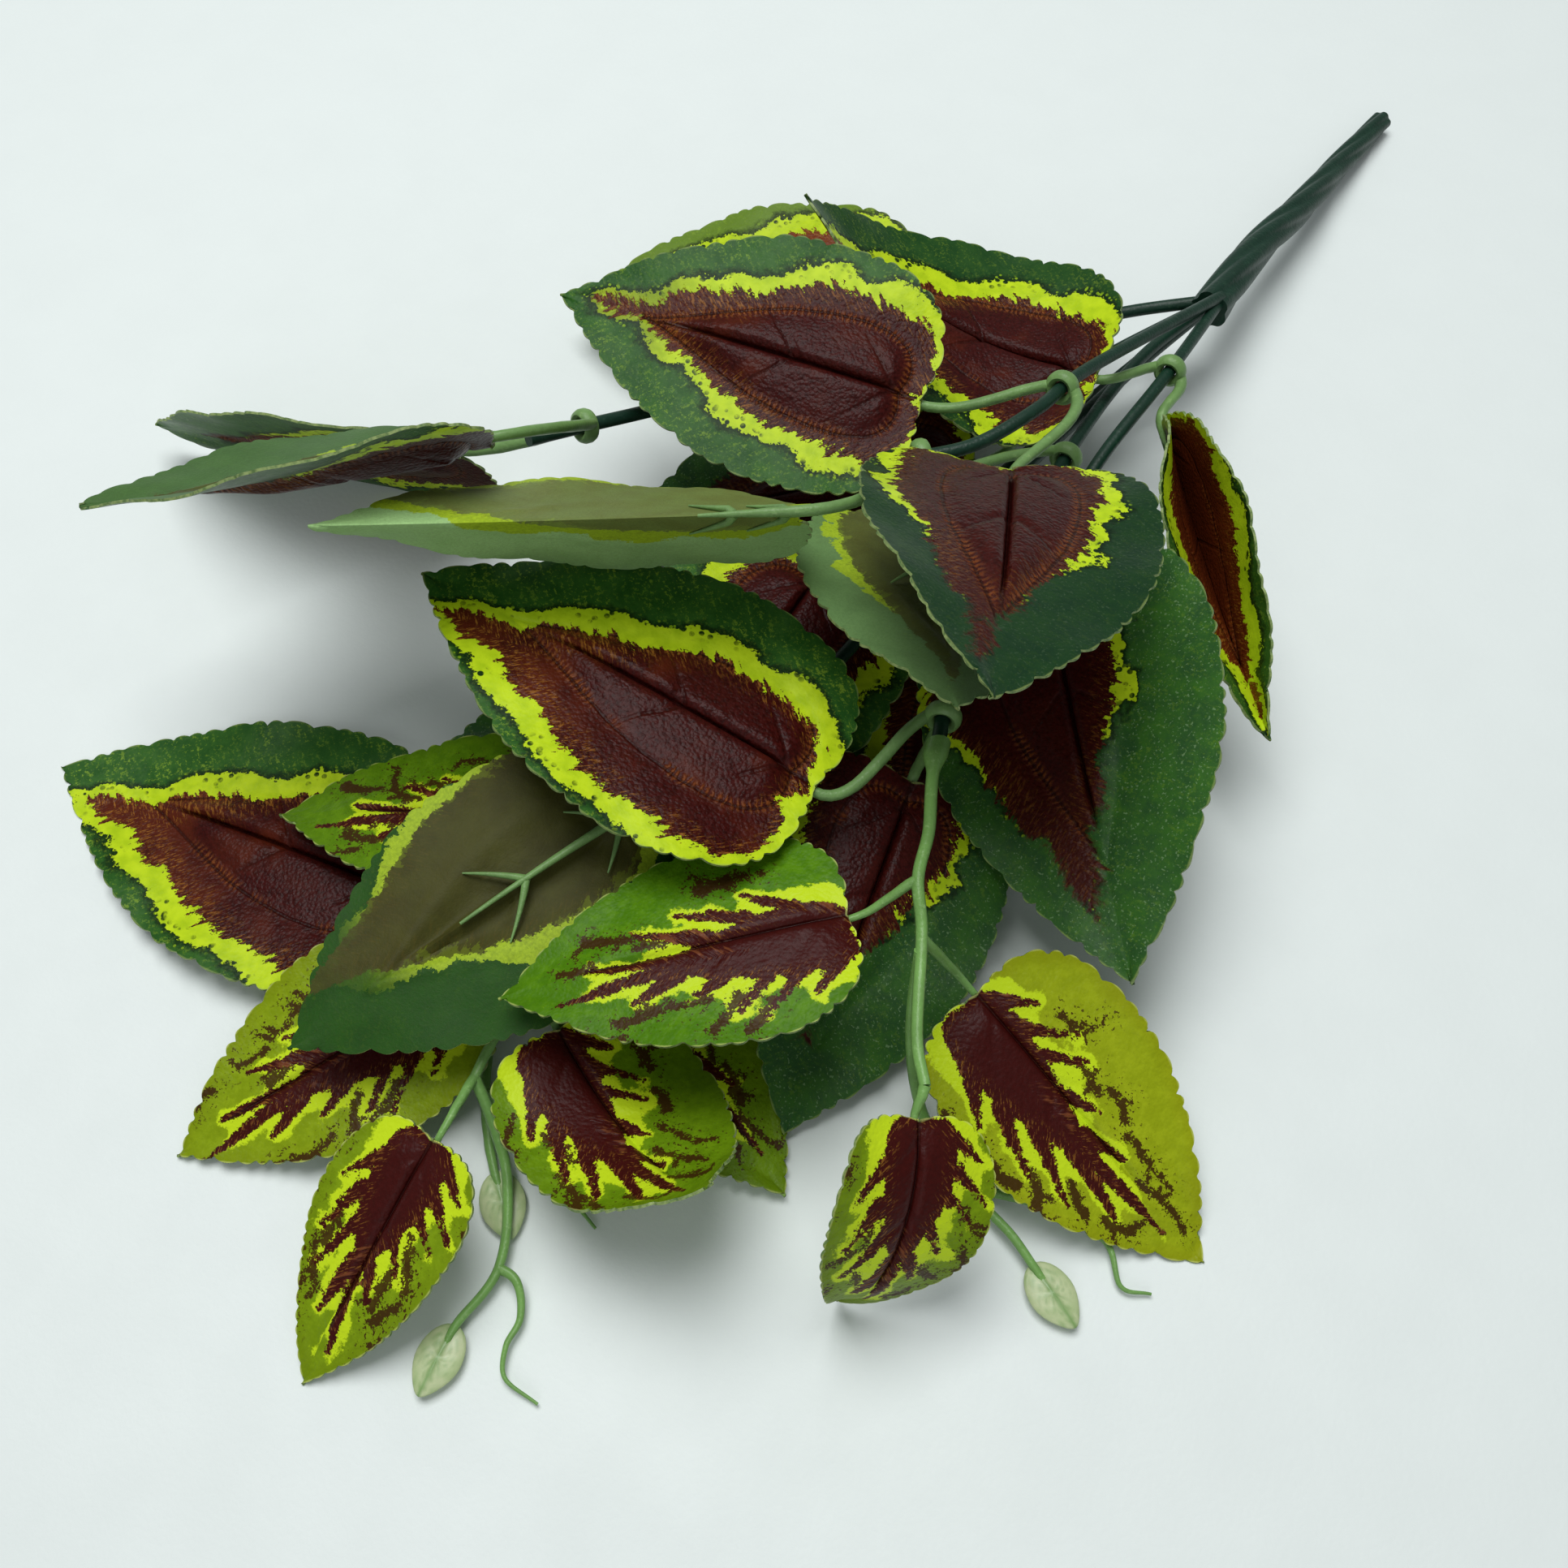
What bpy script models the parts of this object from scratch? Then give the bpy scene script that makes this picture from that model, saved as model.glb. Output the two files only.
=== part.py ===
"""Artificial coleus bush lying on its side: seven wired stems twisted into one handle, with pairs of
printed leaves on moulded petioles and light green sprays of small leaves at the stem ends.

The handle points to +Y, the foliage to -Y, and the lowest leaves and the handle's end touch z = 0.
"""
import math
from dataclasses import dataclass

import bmesh
import bpy
import numpy as np
from mathutils import Matrix, Vector

MM = 0.001

# Blades
BLADE_THICKNESS = 0.6 * MM
TOOTH_DEPTH = 0.04           # of the half width
GRID_COLUMNS = 4
EDGE_CUTS = 3                # cuts in each long edge cell, two points for each tooth
GAP = 0.3 * MM               # clearance between neighbours that touch

# Stems, petioles and sprays
STEM_RADIUS = 1.4 * MM
PETIOLE_RADIUS = 1.1 * MM
RIB_REACH = 0.45             # of the blade's length
COLLAR_WIRE = 1.0 * MM
SPRAY_RADIUS = 0.95 * MM
SPRAY_RIB_RADIUS = 0.7 * MM
TENDRIL_TIP = 0.45           # of the spray's radius

# Handle
CROWN_RADIUS = 4.6 * MM
HANDLE_END_RADIUS = 2.7 * MM
HANDLE_LOBES = 5
HANDLE_LOBE_DEPTH = 0.14     # of the radius
HANDLE_TURNS = 4.5
HANDLE_SIDES = 15
HANDLE_RINGS = 22
HANDLE_ROUTE = [(26, 134, 18), (25, 162, 14.5), (26, 188, 10), (26, 214, 5.5), (27, 240, 2.5)]

# Centre of the finished bush's outline seen from above, in the layout's millimetres
LAYOUT_CENTRE = (-15.35, 41.54)


@dataclass
class BladeSize:
    """Length and width in millimetres, with the mesh rows that carry the teeth."""
    length: float
    width: float
    rows: int

    @property
    def teeth(self):
        return self.rows * (EDGE_CUTS + 1) / 2


LARGE = BladeSize(length=82, width=57, rows=7)
SMALL = BladeSize(length=61, width=40, rows=5)
TINY = BladeSize(length=46, width=30, rows=5)


@dataclass
class Leaf:
    """A blade: where its base is (mm), where it points and how it is bent (degrees)."""
    name: str
    size: BladeSize
    base: tuple
    heading: float
    pitch: float
    roll: float = 0
    bend: float = 8
    fold: float = 5
    tip_fold: float = None
    twist: float = 0
    lobe: float = 0.07
    scale: float = 1.0
    rib: float = RIB_REACH


STEMS = {
    "1": [(26, 138, 18), (10, 126, 15), (-3, 111, 14), (-15, 94, 17), (-26, 76, 22), (-36, 58, 25), (-52, 26, 32),
          (-57, 12, 37), (-61, -1, 42)],
    "2": [(27, 136, 21), (19, 83, 38), (18, 62, 44), (13, 46, 45), (4, 35, 45)],
    "3": [(27, 138, 19), (30, 102, 27), (30, 70, 27), (33, 46, 22)],
    "4": [(26, 138, 18), (21, 110, 20), (22, 78, 23), (28, 39, 28), (36, 3, 31), (40, -8, 33)],
    "5": [(26, 138, 18), (20, 104, 18), (14, 50, 20), (11, -4, 22), (8, -27, 22), (6, -38, 21)],
    "6": [(25, 138, 17), (16, 101, 13), (6, 61, 7), (-1, 30, 5), (-3, 0, 5), (-5, -30, 5), (-4, -50, 5)],
    "7": [(25, 138, 17), (8, 104, 12), (-9, 60, 5), (-17, 0, 4), (-19, -40, 4), (-18, -66, 4)],
}

LEAVES = [
    Leaf("leaf_1a", LARGE, (-30, 96, 18), heading=-151, pitch=-5, roll=5, bend=8, fold=5),
    Leaf("leaf_1b", LARGE, (4, 67, 15), heading=-136, pitch=-8, roll=0, bend=7, fold=4),
    Leaf("leaf_1c", LARGE, (-53, -17, 60), heading=-134, pitch=0, roll=130, bend=4, fold=-12, twist=20, scale=0.89),
    Leaf("leaf_1d", LARGE, (-80, -4, 27), heading=-164, pitch=-13, roll=118, bend=8, fold=4, twist=-5),
    Leaf("leaf_2a", LARGE, (-3, 52, 42), heading=-165, pitch=2, roll=17, bend=6, fold=2, scale=0.96),
    Leaf("leaf_2b", LARGE, (25, 38, 53), heading=-65, pitch=24, roll=-2, bend=11, fold=6, twist=22, lobe=0.09,
         scale=0.95),
    Leaf("leaf_2c", LARGE, (5, -4, 69), heading=-143, pitch=0, roll=212, bend=10, fold=78, tip_fold=68, twist=12,
         lobe=0.09),
    Leaf("leaf_3a", LARGE, (18, 92, 28), heading=-167, pitch=21, roll=12, bend=-92, fold=8, twist=-42, scale=0.99),
    Leaf("leaf_3b", LARGE, (36, 88, 28), heading=-45, pitch=-5, roll=-12, bend=-30, fold=86, tip_fold=55, twist=-12,
         lobe=0.0, scale=0.93),
    Leaf("leaf_3c", LARGE, (36, 39, 29), heading=-49, pitch=-4, roll=-28, bend=11, fold=6, scale=1.04),
    Leaf("leaf_3d", LARGE, (34, 38, 9), heading=-82, pitch=-5, roll=0, bend=6, fold=3),
    Leaf("leaf_4a", LARGE, (9, 34, 33), heading=-54, pitch=26, roll=190, bend=2, fold=4, scale=0.88),
    Leaf("leaf_4b", LARGE, (27, -29, 33), heading=-174, pitch=6, roll=-6, bend=10, fold=4, scale=1.03),
    Leaf("leaf_4c", LARGE, (37, -10, 17), heading=-76, pitch=-11, roll=14, bend=9, fold=5, scale=0.86),
    Leaf("leaf_5a", LARGE, (-5, 22, 18), heading=-85, pitch=-3, roll=2, bend=9, fold=4),
    Leaf("leaf_5b", LARGE, (1, -50, 27), heading=-109, pitch=-6, roll=186, bend=-16, fold=4, scale=0.88),
    Leaf("leaf_6a", LARGE, (1, -17, 10), heading=-139, pitch=-2, roll=4, bend=9, fold=5, scale=0.77),
    Leaf("leaf_7a", LARGE, (-31, -80, 4), heading=-167, pitch=-4, roll=-3, bend=6, fold=4, scale=1.02),
    Leaf("leaf_4d", SMALL, (46, -47, 34), heading=-133, pitch=-6, roll=-8, bend=5, fold=3),
    Leaf("leaf_4e", SMALL, (70, -41, 20), heading=-12, pitch=-20, roll=-10, bend=8, fold=5),
    Leaf("leaf_4f", TINY, (75, -70, 34), heading=-85, pitch=-52, roll=42, bend=90, fold=8, scale=0.97, rib=0.2),
    Leaf("leaf_5c", SMALL, (-9, -87, 10), heading=-114, pitch=-9, roll=5, bend=10, fold=6),
    Leaf("leaf_5d", SMALL, (12, -87, 14), heading=-14, pitch=30, roll=14, bend=-100, fold=5, scale=0.95, rib=0.3),
    Leaf("leaf_5e", TINY, (8, -115, 17), heading=-85, pitch=-22, roll=-10, bend=4, fold=6, scale=0.99),
    Leaf("leaf_6b", SMALL, (6, -67, 4), heading=-19, pitch=-2, roll=6, bend=6, fold=5, scale=0.94),
    Leaf("leaf_7b", SMALL, (-10, -52, 17), heading=-149, pitch=-7, roll=-14, bend=6, fold=4),
]


@dataclass
class Petioles:
    """A moulded ring on a stem with a petiole for each of its leaves; at is a place along the stem, 0 to 1."""
    name: str
    stem: str
    at: float
    leaves: tuple


PETIOLES = [
    Petioles("petioles_1_middle", "1", 0.22, ("leaf_1a", "leaf_1b")),
    Petioles("petioles_1_end", "1", 0.92, ("leaf_1c", "leaf_1d")),
    Petioles("petioles_2_middle", "2", 0.62, ("leaf_2a", "leaf_2b")),
    Petioles("petioles_2_end", "2", 0.97, ("leaf_2c",)),
    Petioles("petioles_3_middle", "3", 0.38, ("leaf_3a", "leaf_3b")),
    Petioles("petioles_3_end", "3", 0.96, ("leaf_3c", "leaf_3d")),
    Petioles("petioles_4_middle", "4", 0.45, ("leaf_4a",)),
    Petioles("petioles_4_end", "4", 0.96, ("leaf_4b", "leaf_4c")),
    Petioles("petioles_5_middle", "5", 0.6, ("leaf_5a",)),
    Petioles("petioles_5_end", "5", 0.9, ("leaf_5b",)),
    Petioles("petioles_6", "6", 0.74, ("leaf_6a",)),
    Petioles("petioles_7", "7", 0.96, ("leaf_7a", "leaf_7b")),
]


@dataclass
class Spray:
    """A light green moulded branch: its axis, the twigs that end in leaves, a bud leaf and a tendril."""
    name: str
    axis: list
    leaves: dict             # leaf name: the point on the axis where its petiole starts
    bud: list = None
    tendril: list = None


SPRAYS = [
    Spray("spray_4", [(40.2, -8.5, 33), (44, -17, 35), (49, -26, 37), (53, -36, 38), (59, -44, 36), (67, -58, 35), (73, -65, 35)],
          {"leaf_4d": (53, -36, 38), "leaf_4e": (59, -44, 36), "leaf_4f": (73, -65, 35)},
          bud=[(60, -46, 36), (64, -53, 20), (72, -60, 6), (86, -66, 3), (97, -69, 3), (107, -73, 2)],
          tendril=[(86, -66, 3), (98, -61, 2), (110, -60, 2), (116, -65, 1.5), (121, -63, 1)]),
    Spray("spray_5", [(5.9, -38.5, 21), (4, -56, 18), (1, -74, 15), (3, -92, 14), (5, -102, 13)],
          {"leaf_5c": (1, -74, 15), "leaf_5d": (2, -80, 14.5), "leaf_5e": (5, -102, 13)},
          bud=[(5, -102, 13), (13, -107, 6), (20, -113, 4), (27, -124, 3), (27, -135, 2.5), (28, -141, 2)],
          tendril=[(27, -124, 3), (31, -124, 3), (35, -128, 2), (36, -133, 2), (39, -137, 1.5), (46, -137, 1)]),
    Spray("spray_6", [(-4, -50.6, 5), (-5, -64, 4), (-6, -76, 3), (-3, -90, 2), (4, -101, 2)],
          {"leaf_6b": (-4, -59, 5)},
          bud=[(4, -101, 2), (12, -109, 2), (20, -115, 1.5)],
          tendril=[(4, -101, 2), (16, -105, 2), (27, -107, 1.5), (36, -109, 1)]),
]


def to_part(point):
    """Layout millimetres to metres in the part's own frame."""
    return Vector(((point[0] - LAYOUT_CENTRE[0]) * MM, (point[1] - LAYOUT_CENTRE[1]) * MM, point[2] * MM))


def clear_scene():
    for thing in list(bpy.data.objects):
        bpy.data.objects.remove(thing, do_unlink=True)


def collection(name):
    group = bpy.data.collections.new(name)
    bpy.context.scene.collection.children.link(group)
    return group


def finish(name, colour, roughness):
    """A plain plastic finish in the part's own colour."""
    material = bpy.data.materials.new(name + "_finish")
    material.use_nodes = True
    shader = material.node_tree.nodes["Principled BSDF"]
    shader.inputs["Base Color"].default_value = (*colour, 1)
    shader.inputs["Roughness"].default_value = roughness
    shader.inputs["Metallic"].default_value = 0
    return material


LARGE_GREEN = (0.02, 0.07, 0.03)
SMALL_GREEN = (0.18, 0.36, 0.03)
STEM_GREEN = (0.01, 0.04, 0.02)
PETIOLE_GREEN = (0.10, 0.20, 0.06)
SPRAY_GREEN = (0.15, 0.38, 0.10)


def smooth(points, steps):
    """Points on a smooth curve through the given ones (Catmull-Rom), steps to a span."""
    ghost_start = points[0] * 2 - points[1]
    ghost_end = points[-1] * 2 - points[-2]
    run = [ghost_start, *points, ghost_end]
    out = []
    for a, b, c, d in zip(run, run[1:], run[2:], run[3:]):
        for step in range(steps):
            t = step / steps
            out.append(0.5 * (2 * b + (c - a) * t + (2 * a - 5 * b + 4 * c - d) * t * t
                              + (3 * b - a - 3 * c + d) * t ** 3))
    return out + [points[-1]]


def place_along(points, share):
    """The point at a share of the route's length and the direction there."""
    lengths = [(b - a).length for a, b in zip(points, points[1:])]
    left = share * sum(lengths)
    for a, b, length in zip(points, points[1:], lengths):
        if left <= length:
            return a.lerp(b, left / length), (b - a).normalized()
        left -= length
    return points[-1], (points[-1] - points[-2]).normalized()


def blade_outline(s, lobe):
    """Half width and forward place of the edge at s, from the base (0) to the tip (1), as shares."""
    angle = math.pi * s
    across = math.sin(angle) * max(math.cos(angle / 2), 0) ** 0.95 / 0.775
    along = (1 - math.cos(angle)) / 2 - lobe * math.sin(math.pi * min(s / 0.5, 1))
    return across, along


def blade_point(leaf, u, s, below=0.0):
    """A point of the bent blade in its own frame: X across, Y to the tip, Z up; below is a drop under it."""
    length = leaf.size.length * leaf.scale * MM
    half_width = leaf.size.width * leaf.scale * MM / 2
    edge_across, edge_along = blade_outline(s, leaf.lobe)
    tooth = 1 - TOOTH_DEPTH * (1 - abs(math.sin(math.pi * leaf.size.teeth * s)))
    across = abs(u) * half_width * edge_across * (1 - (1 - tooth) * abs(u) ** 6)
    along = length * (s * (1 - u * u) + u * u * edge_along)

    tip_fold = leaf.fold if leaf.tip_fold is None else leaf.tip_fold
    fold = math.radians(leaf.fold + (tip_fold - leaf.fold) * along / length)
    x = math.copysign(across * math.cos(fold), u)
    z = across * math.sin(fold) - below

    twist = math.radians(leaf.twist) * along / length
    x, z = x * math.cos(twist) - z * math.sin(twist), x * math.sin(twist) + z * math.cos(twist)

    bend = math.radians(leaf.bend)
    radius = length / bend
    arc = along / radius
    return Vector((x, (radius + z) * math.sin(arc), (radius + z) * math.cos(arc) - radius))


def blade_matrix(leaf):
    """Places the blade's own frame so that its chord follows the heading and pitch."""
    heading, pitch, roll = (math.radians(a) for a in (leaf.heading, leaf.pitch, leaf.roll))
    chord = Vector((math.cos(pitch) * math.cos(heading), math.cos(pitch) * math.sin(heading), math.sin(pitch)))
    level = chord.cross(Vector((0, 0, 1))).normalized()
    up = level.cross(chord)
    across = level * math.cos(roll) + up * math.sin(roll)
    normal = up * math.cos(roll) - level * math.sin(roll)
    half_bend = math.radians(leaf.bend) / 2
    forward = chord * math.cos(half_bend) + normal * math.sin(half_bend)
    outward = normal * math.cos(half_bend) - chord * math.sin(half_bend)
    turn = Matrix((across, forward, outward)).transposed().to_4x4()
    return Matrix.Translation(to_part(leaf.base)) @ turn


def make_blade(leaf, group):
    """A grid bent into the blade, its edge cut into teeth, pressed flat where it lies on the table."""
    mesh = bpy.data.meshes.new(leaf.name)
    grid = bmesh.new()
    bmesh.ops.create_grid(grid, x_segments=GRID_COLUMNS, y_segments=leaf.size.rows, size=1)
    long_edges = [e for e in grid.edges if all(abs(abs(v.co.x) - 1) < 1e-5 for v in e.verts)]
    bmesh.ops.subdivide_edges(grid, edges=long_edges, cuts=EDGE_CUTS)
    place = blade_matrix(leaf)
    back = place.inverted()
    for vertex in grid.verts:
        point = place @ blade_point(leaf, vertex.co.x, (vertex.co.y + 1) / 2)
        point.z = max(point.z, BLADE_THICKNESS / 2)
        vertex.co = back @ point
    bmesh.ops.remove_doubles(grid, verts=grid.verts, dist=1e-5)
    grid.to_mesh(mesh)
    grid.free()
    blade = bpy.data.objects.new(leaf.name, mesh)
    blade.matrix_world = place
    group.objects.link(blade)
    blade.modifiers.new("triangles", "TRIANGULATE")
    shell = blade.modifiers.new("thickness", "SOLIDIFY")
    shell.thickness = BLADE_THICKNESS
    shell.offset = 0
    green, roughness = (LARGE_GREEN, 0.45) if leaf.size is LARGE else (SMALL_GREEN, 0.4)
    mesh.materials.append(finish(leaf.name, green, roughness))
    return blade


def tube(name, points, radius, end_share=1.0, resolution=1):
    """A round rod along the points, thinning to a share of its radius."""
    data = bpy.data.curves.new(name, "CURVE")
    data.dimensions = "3D"
    data.bevel_depth = radius
    data.bevel_resolution = resolution
    data.use_fill_caps = True
    spline = data.splines.new("POLY")
    spline.points.add(len(points) - 1)
    for index, point in enumerate(points):
        spline.points[index].co = (*point, 1)
        spline.points[index].radius = 1 + (end_share - 1) * index / (len(points) - 1)
    rod = bpy.data.objects.new(name, data)
    bpy.context.scene.collection.objects.link(rod)
    return rod


def as_mesh(rod):
    """Turns a curve object into a closed mesh object of the same name."""
    bpy.context.view_layer.update()
    evaluated = rod.evaluated_get(bpy.context.evaluated_depsgraph_get())
    mesh = bpy.data.meshes.new_from_object(evaluated)
    shape = bmesh.new()
    shape.from_mesh(mesh)
    bmesh.ops.remove_doubles(shape, verts=shape.verts, dist=1e-6)
    shape.to_mesh(mesh)
    shape.free()
    name = rod.name
    bpy.data.objects.remove(rod)
    solid = bpy.data.objects.new(name, mesh)
    bpy.context.scene.collection.objects.link(solid)
    return solid


def unite(name, solids, group, material):
    """Joins closed meshes that overlap into one solid."""
    body, *others = solids
    operands = bpy.data.collections.new(name + "_operands")
    for other in others:
        operands.objects.link(other)
    union = body.modifiers.new("union", "BOOLEAN")
    union.operation = "UNION"
    union.solver = "EXACT"
    union.operand_type = "COLLECTION"
    union.collection = operands
    bpy.context.view_layer.update()
    evaluated = body.evaluated_get(bpy.context.evaluated_depsgraph_get())
    mesh = bpy.data.meshes.new_from_object(evaluated)
    for solid in solids:
        bpy.data.objects.remove(solid)
    bpy.data.collections.remove(operands)
    mesh.name = name
    mesh.materials.clear()
    mesh.materials.append(material)
    mesh.shade_smooth()
    mesh.set_sharp_from_angle(angle=math.radians(50))
    whole = bpy.data.objects.new(name, mesh)
    group.objects.link(whole)
    return whole


def rib_points(leaf, radius, count=3):
    """The rod that carries a blade, under its midrib from the base to its reach."""
    facet_sag = leaf.size.length * leaf.scale * MM * abs(math.radians(leaf.bend)) / (8 * leaf.size.rows ** 2)
    drop = BLADE_THICKNESS / 2 + GAP + facet_sag + radius
    place = blade_matrix(leaf)
    points = [place @ blade_point(leaf, 0, leaf.rib * i / count, below=drop) for i in range(count + 1)]
    for point in points:
        point.z = max(point.z, radius)
    return points


def petiole_points(start, leave, leaf, radius, steps=5):
    """A curve from the start, leaving it in a direction, to the blade's base and on under the midrib."""
    rib = rib_points(leaf, radius)
    end = rib[0]
    arrive = (rib[1] - rib[0]).normalized()
    reach = (end - start).length
    out = []
    for step in range(steps):
        t = step / steps
        h00, h10 = 2 * t ** 3 - 3 * t * t + 1, t ** 3 - 2 * t * t + t
        h01, h11 = 3 * t * t - 2 * t ** 3, t ** 3 - t * t
        out.append(start * h00 + leave * (reach * h10) + end * h01 + arrive * (reach * h11))
    return out + rib


def collar_ring(name, centre, direction):
    """The moulded ring that clips round a stem."""
    bpy.ops.mesh.primitive_torus_add(major_segments=10, minor_segments=6,
                                     major_radius=STEM_RADIUS + GAP + COLLAR_WIRE, minor_radius=COLLAR_WIRE)
    ring = bpy.context.object
    ring.name = name
    ring.data.transform(Matrix.Translation(centre) @ direction.to_track_quat("Z", "Y").to_matrix().to_4x4())
    return ring


def make_petioles(petioles, leaves, group):
    route = smooth([to_part(p) for p in STEMS[petioles.stem]], 4)
    centre, direction = place_along(route, petioles.at)
    pieces = [collar_ring(petioles.name + "_ring", centre, direction)]
    for name in petioles.leaves:
        leaf = leaves[name]
        away = to_part(leaf.base) - centre
        away = (away - direction * away.dot(direction)).normalized()
        start = centre + away * (STEM_RADIUS + GAP + COLLAR_WIRE)
        leave = (away + direction).normalized()
        rod = tube(petioles.name + "_" + name, petiole_points(start, leave, leaf, PETIOLE_RADIUS), PETIOLE_RADIUS)
        pieces.append(as_mesh(rod))
    return unite(petioles.name, pieces, group, finish(petioles.name, PETIOLE_GREEN, 0.5))


def make_bud(name, base, direction):
    """A small closed leaf at a twig's end: a flattened ball."""
    bpy.ops.mesh.primitive_uv_sphere_add(segments=8, ring_count=6, radius=1)
    bud = bpy.context.object
    bud.name = name
    length, width, depth = 6.5 * MM, 4.5 * MM, 0.9 * MM
    level = Vector((direction.x, direction.y, 0)).normalized()
    turn = level.to_track_quat("Y", "Z").to_matrix().to_4x4()
    bud.data.transform(Matrix.Translation(base) @ turn @ Matrix.Diagonal((width, length, depth, 1)))
    return bud


def make_spray(spray, leaves, group):
    axis = smooth([to_part(p) for p in spray.axis], 2)
    pieces = [as_mesh(tube(spray.name + "_axis", axis, SPRAY_RADIUS * 1.2, 0.85))]
    for name, node in spray.leaves.items():
        leaf = leaves[name]
        start = to_part(node)
        leave = (to_part(leaf.base) - start).normalized()
        rod = tube(spray.name + "_" + name, petiole_points(start, leave, leaf, SPRAY_RIB_RADIUS, 3), SPRAY_RIB_RADIUS)
        pieces.append(as_mesh(rod))
    if spray.bud:
        twig = smooth([to_part(p) for p in spray.bud], 1)
        pieces.append(as_mesh(tube(spray.name + "_twig", twig, SPRAY_RADIUS, 0.7)))
        pieces.append(make_bud(spray.name + "_bud", twig[-1], (twig[-1] - twig[-2]).normalized()))
    if spray.tendril:
        curl = smooth([to_part(p) for p in spray.tendril], 1)
        pieces.append(as_mesh(tube(spray.name + "_tendril", curl, SPRAY_RADIUS, TENDRIL_TIP)))
    return unite(spray.name, pieces, group, finish(spray.name, SPRAY_GREEN, 0.4))


def make_handle(name):
    """The stems' twisted end: a lobed rod whose lobes wind round it as it thins."""
    route = smooth([to_part(p) for p in HANDLE_ROUTE], 6)
    rope = bmesh.new()
    bmesh.ops.create_grid(rope, x_segments=HANDLE_SIDES, y_segments=HANDLE_RINGS, size=1)
    for vertex in rope.verts:
        share = (vertex.co.y + 1) / 2
        turn = math.pi * (vertex.co.x + 1)
        centre, direction = place_along(route, share)
        side = direction.cross(Vector((0, 0, 1))).normalized()
        up = side.cross(direction)
        radius = CROWN_RADIUS + (HANDLE_END_RADIUS - CROWN_RADIUS) * share
        wave = math.cos(HANDLE_LOBES * turn - 2 * math.pi * HANDLE_TURNS * share)
        radius *= 1 + HANDLE_LOBE_DEPTH * (wave - 1)
        vertex.co = centre + (side * math.cos(turn) + up * math.sin(turn)) * radius
        vertex.co.z = max(vertex.co.z, 0)
    bmesh.ops.remove_doubles(rope, verts=rope.verts, dist=1e-6)
    bmesh.ops.holes_fill(rope, edges=rope.edges)
    bmesh.ops.recalc_face_normals(rope, faces=rope.faces)
    mesh = bpy.data.meshes.new(name)
    rope.to_mesh(mesh)
    rope.free()
    handle = bpy.data.objects.new(name, mesh)
    bpy.context.scene.collection.objects.link(handle)
    return handle


def make_stems(group):
    pieces = [make_handle("handle")]
    for key, points in STEMS.items():
        route = smooth([to_part(p) for p in points], 2)
        pieces.append(as_mesh(tube("stem_" + key, route, STEM_RADIUS, resolution=2)))
    return unite("stems", pieces, group, finish("stems", STEM_GREEN, 0.5))


def main():
    clear_scene()
    group = collection("coleus_bush")
    leaves = {leaf.name: leaf for leaf in LEAVES}
    make_stems(group)
    for petioles in PETIOLES:
        make_petioles(petioles, leaves, group)
    for spray in SPRAYS:
        make_spray(spray, leaves, group)
    for leaf in LEAVES:
        make_blade(leaf, group)


main()
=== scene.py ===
"""The looks of an artificial coleus bush that lies on a table: printed and embossed leaves with scalloped
edges, moulded petioles and sprays, and wired stems twisted into one handle."""
import math
import random
from dataclasses import dataclass

import bmesh
import bpy
import numpy as np
from mathutils import Matrix, Vector


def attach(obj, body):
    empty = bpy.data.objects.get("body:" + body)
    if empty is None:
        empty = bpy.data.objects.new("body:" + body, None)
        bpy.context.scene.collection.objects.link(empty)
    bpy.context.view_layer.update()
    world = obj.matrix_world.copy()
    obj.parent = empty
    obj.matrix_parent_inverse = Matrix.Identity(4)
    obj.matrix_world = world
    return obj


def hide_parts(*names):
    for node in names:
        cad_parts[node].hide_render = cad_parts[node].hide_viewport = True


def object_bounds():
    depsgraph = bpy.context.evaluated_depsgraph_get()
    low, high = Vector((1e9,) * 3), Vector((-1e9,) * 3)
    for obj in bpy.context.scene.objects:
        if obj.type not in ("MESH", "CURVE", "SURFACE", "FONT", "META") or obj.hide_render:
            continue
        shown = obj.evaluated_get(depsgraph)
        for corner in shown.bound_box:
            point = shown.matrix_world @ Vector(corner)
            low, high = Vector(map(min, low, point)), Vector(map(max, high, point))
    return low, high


bl_info = {
    "name": "Artificial coleus bush",
    "version": (1, 0, 0),
    "blender": (4, 5, 0),
    "location": "View3D > Sidebar > Coleus",
    "description": "Dresses the coleus bush in printed leaves, moulded petioles and twisted stems",
    "category": "Object",
}

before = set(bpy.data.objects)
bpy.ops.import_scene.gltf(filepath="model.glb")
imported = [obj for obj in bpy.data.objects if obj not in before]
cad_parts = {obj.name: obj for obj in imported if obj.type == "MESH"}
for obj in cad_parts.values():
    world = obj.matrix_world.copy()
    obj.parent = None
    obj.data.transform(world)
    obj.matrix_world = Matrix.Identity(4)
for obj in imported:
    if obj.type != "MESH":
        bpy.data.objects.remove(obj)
CAD_BOX = [list(corner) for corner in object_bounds()]

MM = 0.001

# Centre of the bush seen from above, in the millimetres that the leaves and routes are laid out in
LAYOUT_CENTRE = (-15.35, 41.54)

# Leaf grid
COLUMNS_LARGE = 40
COLUMNS_SMALL = 50
ROWS_PER_SCALLOP = 8
COLUMN_GATHER = 0.08         # draws the columns towards the midrib and the edges
CURVE_STEPS = 140            # points on each side of a printed outline
EDGE_STEPS = 600             # points along the edge that the scallops are cut into
CLOTH_SHARP = 50             # degrees; a steeper edge is left crisp
PRESSED_WIDTH = 0.9          # half width of the pressed midrib and veins
PUFF_REACH = 6.5             # how far from the midrib the pillows reach
VEINS = ((0.07, 15.0), (0.33, 12.0))    # pressed side veins: root as a share of the length, and reach

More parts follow.
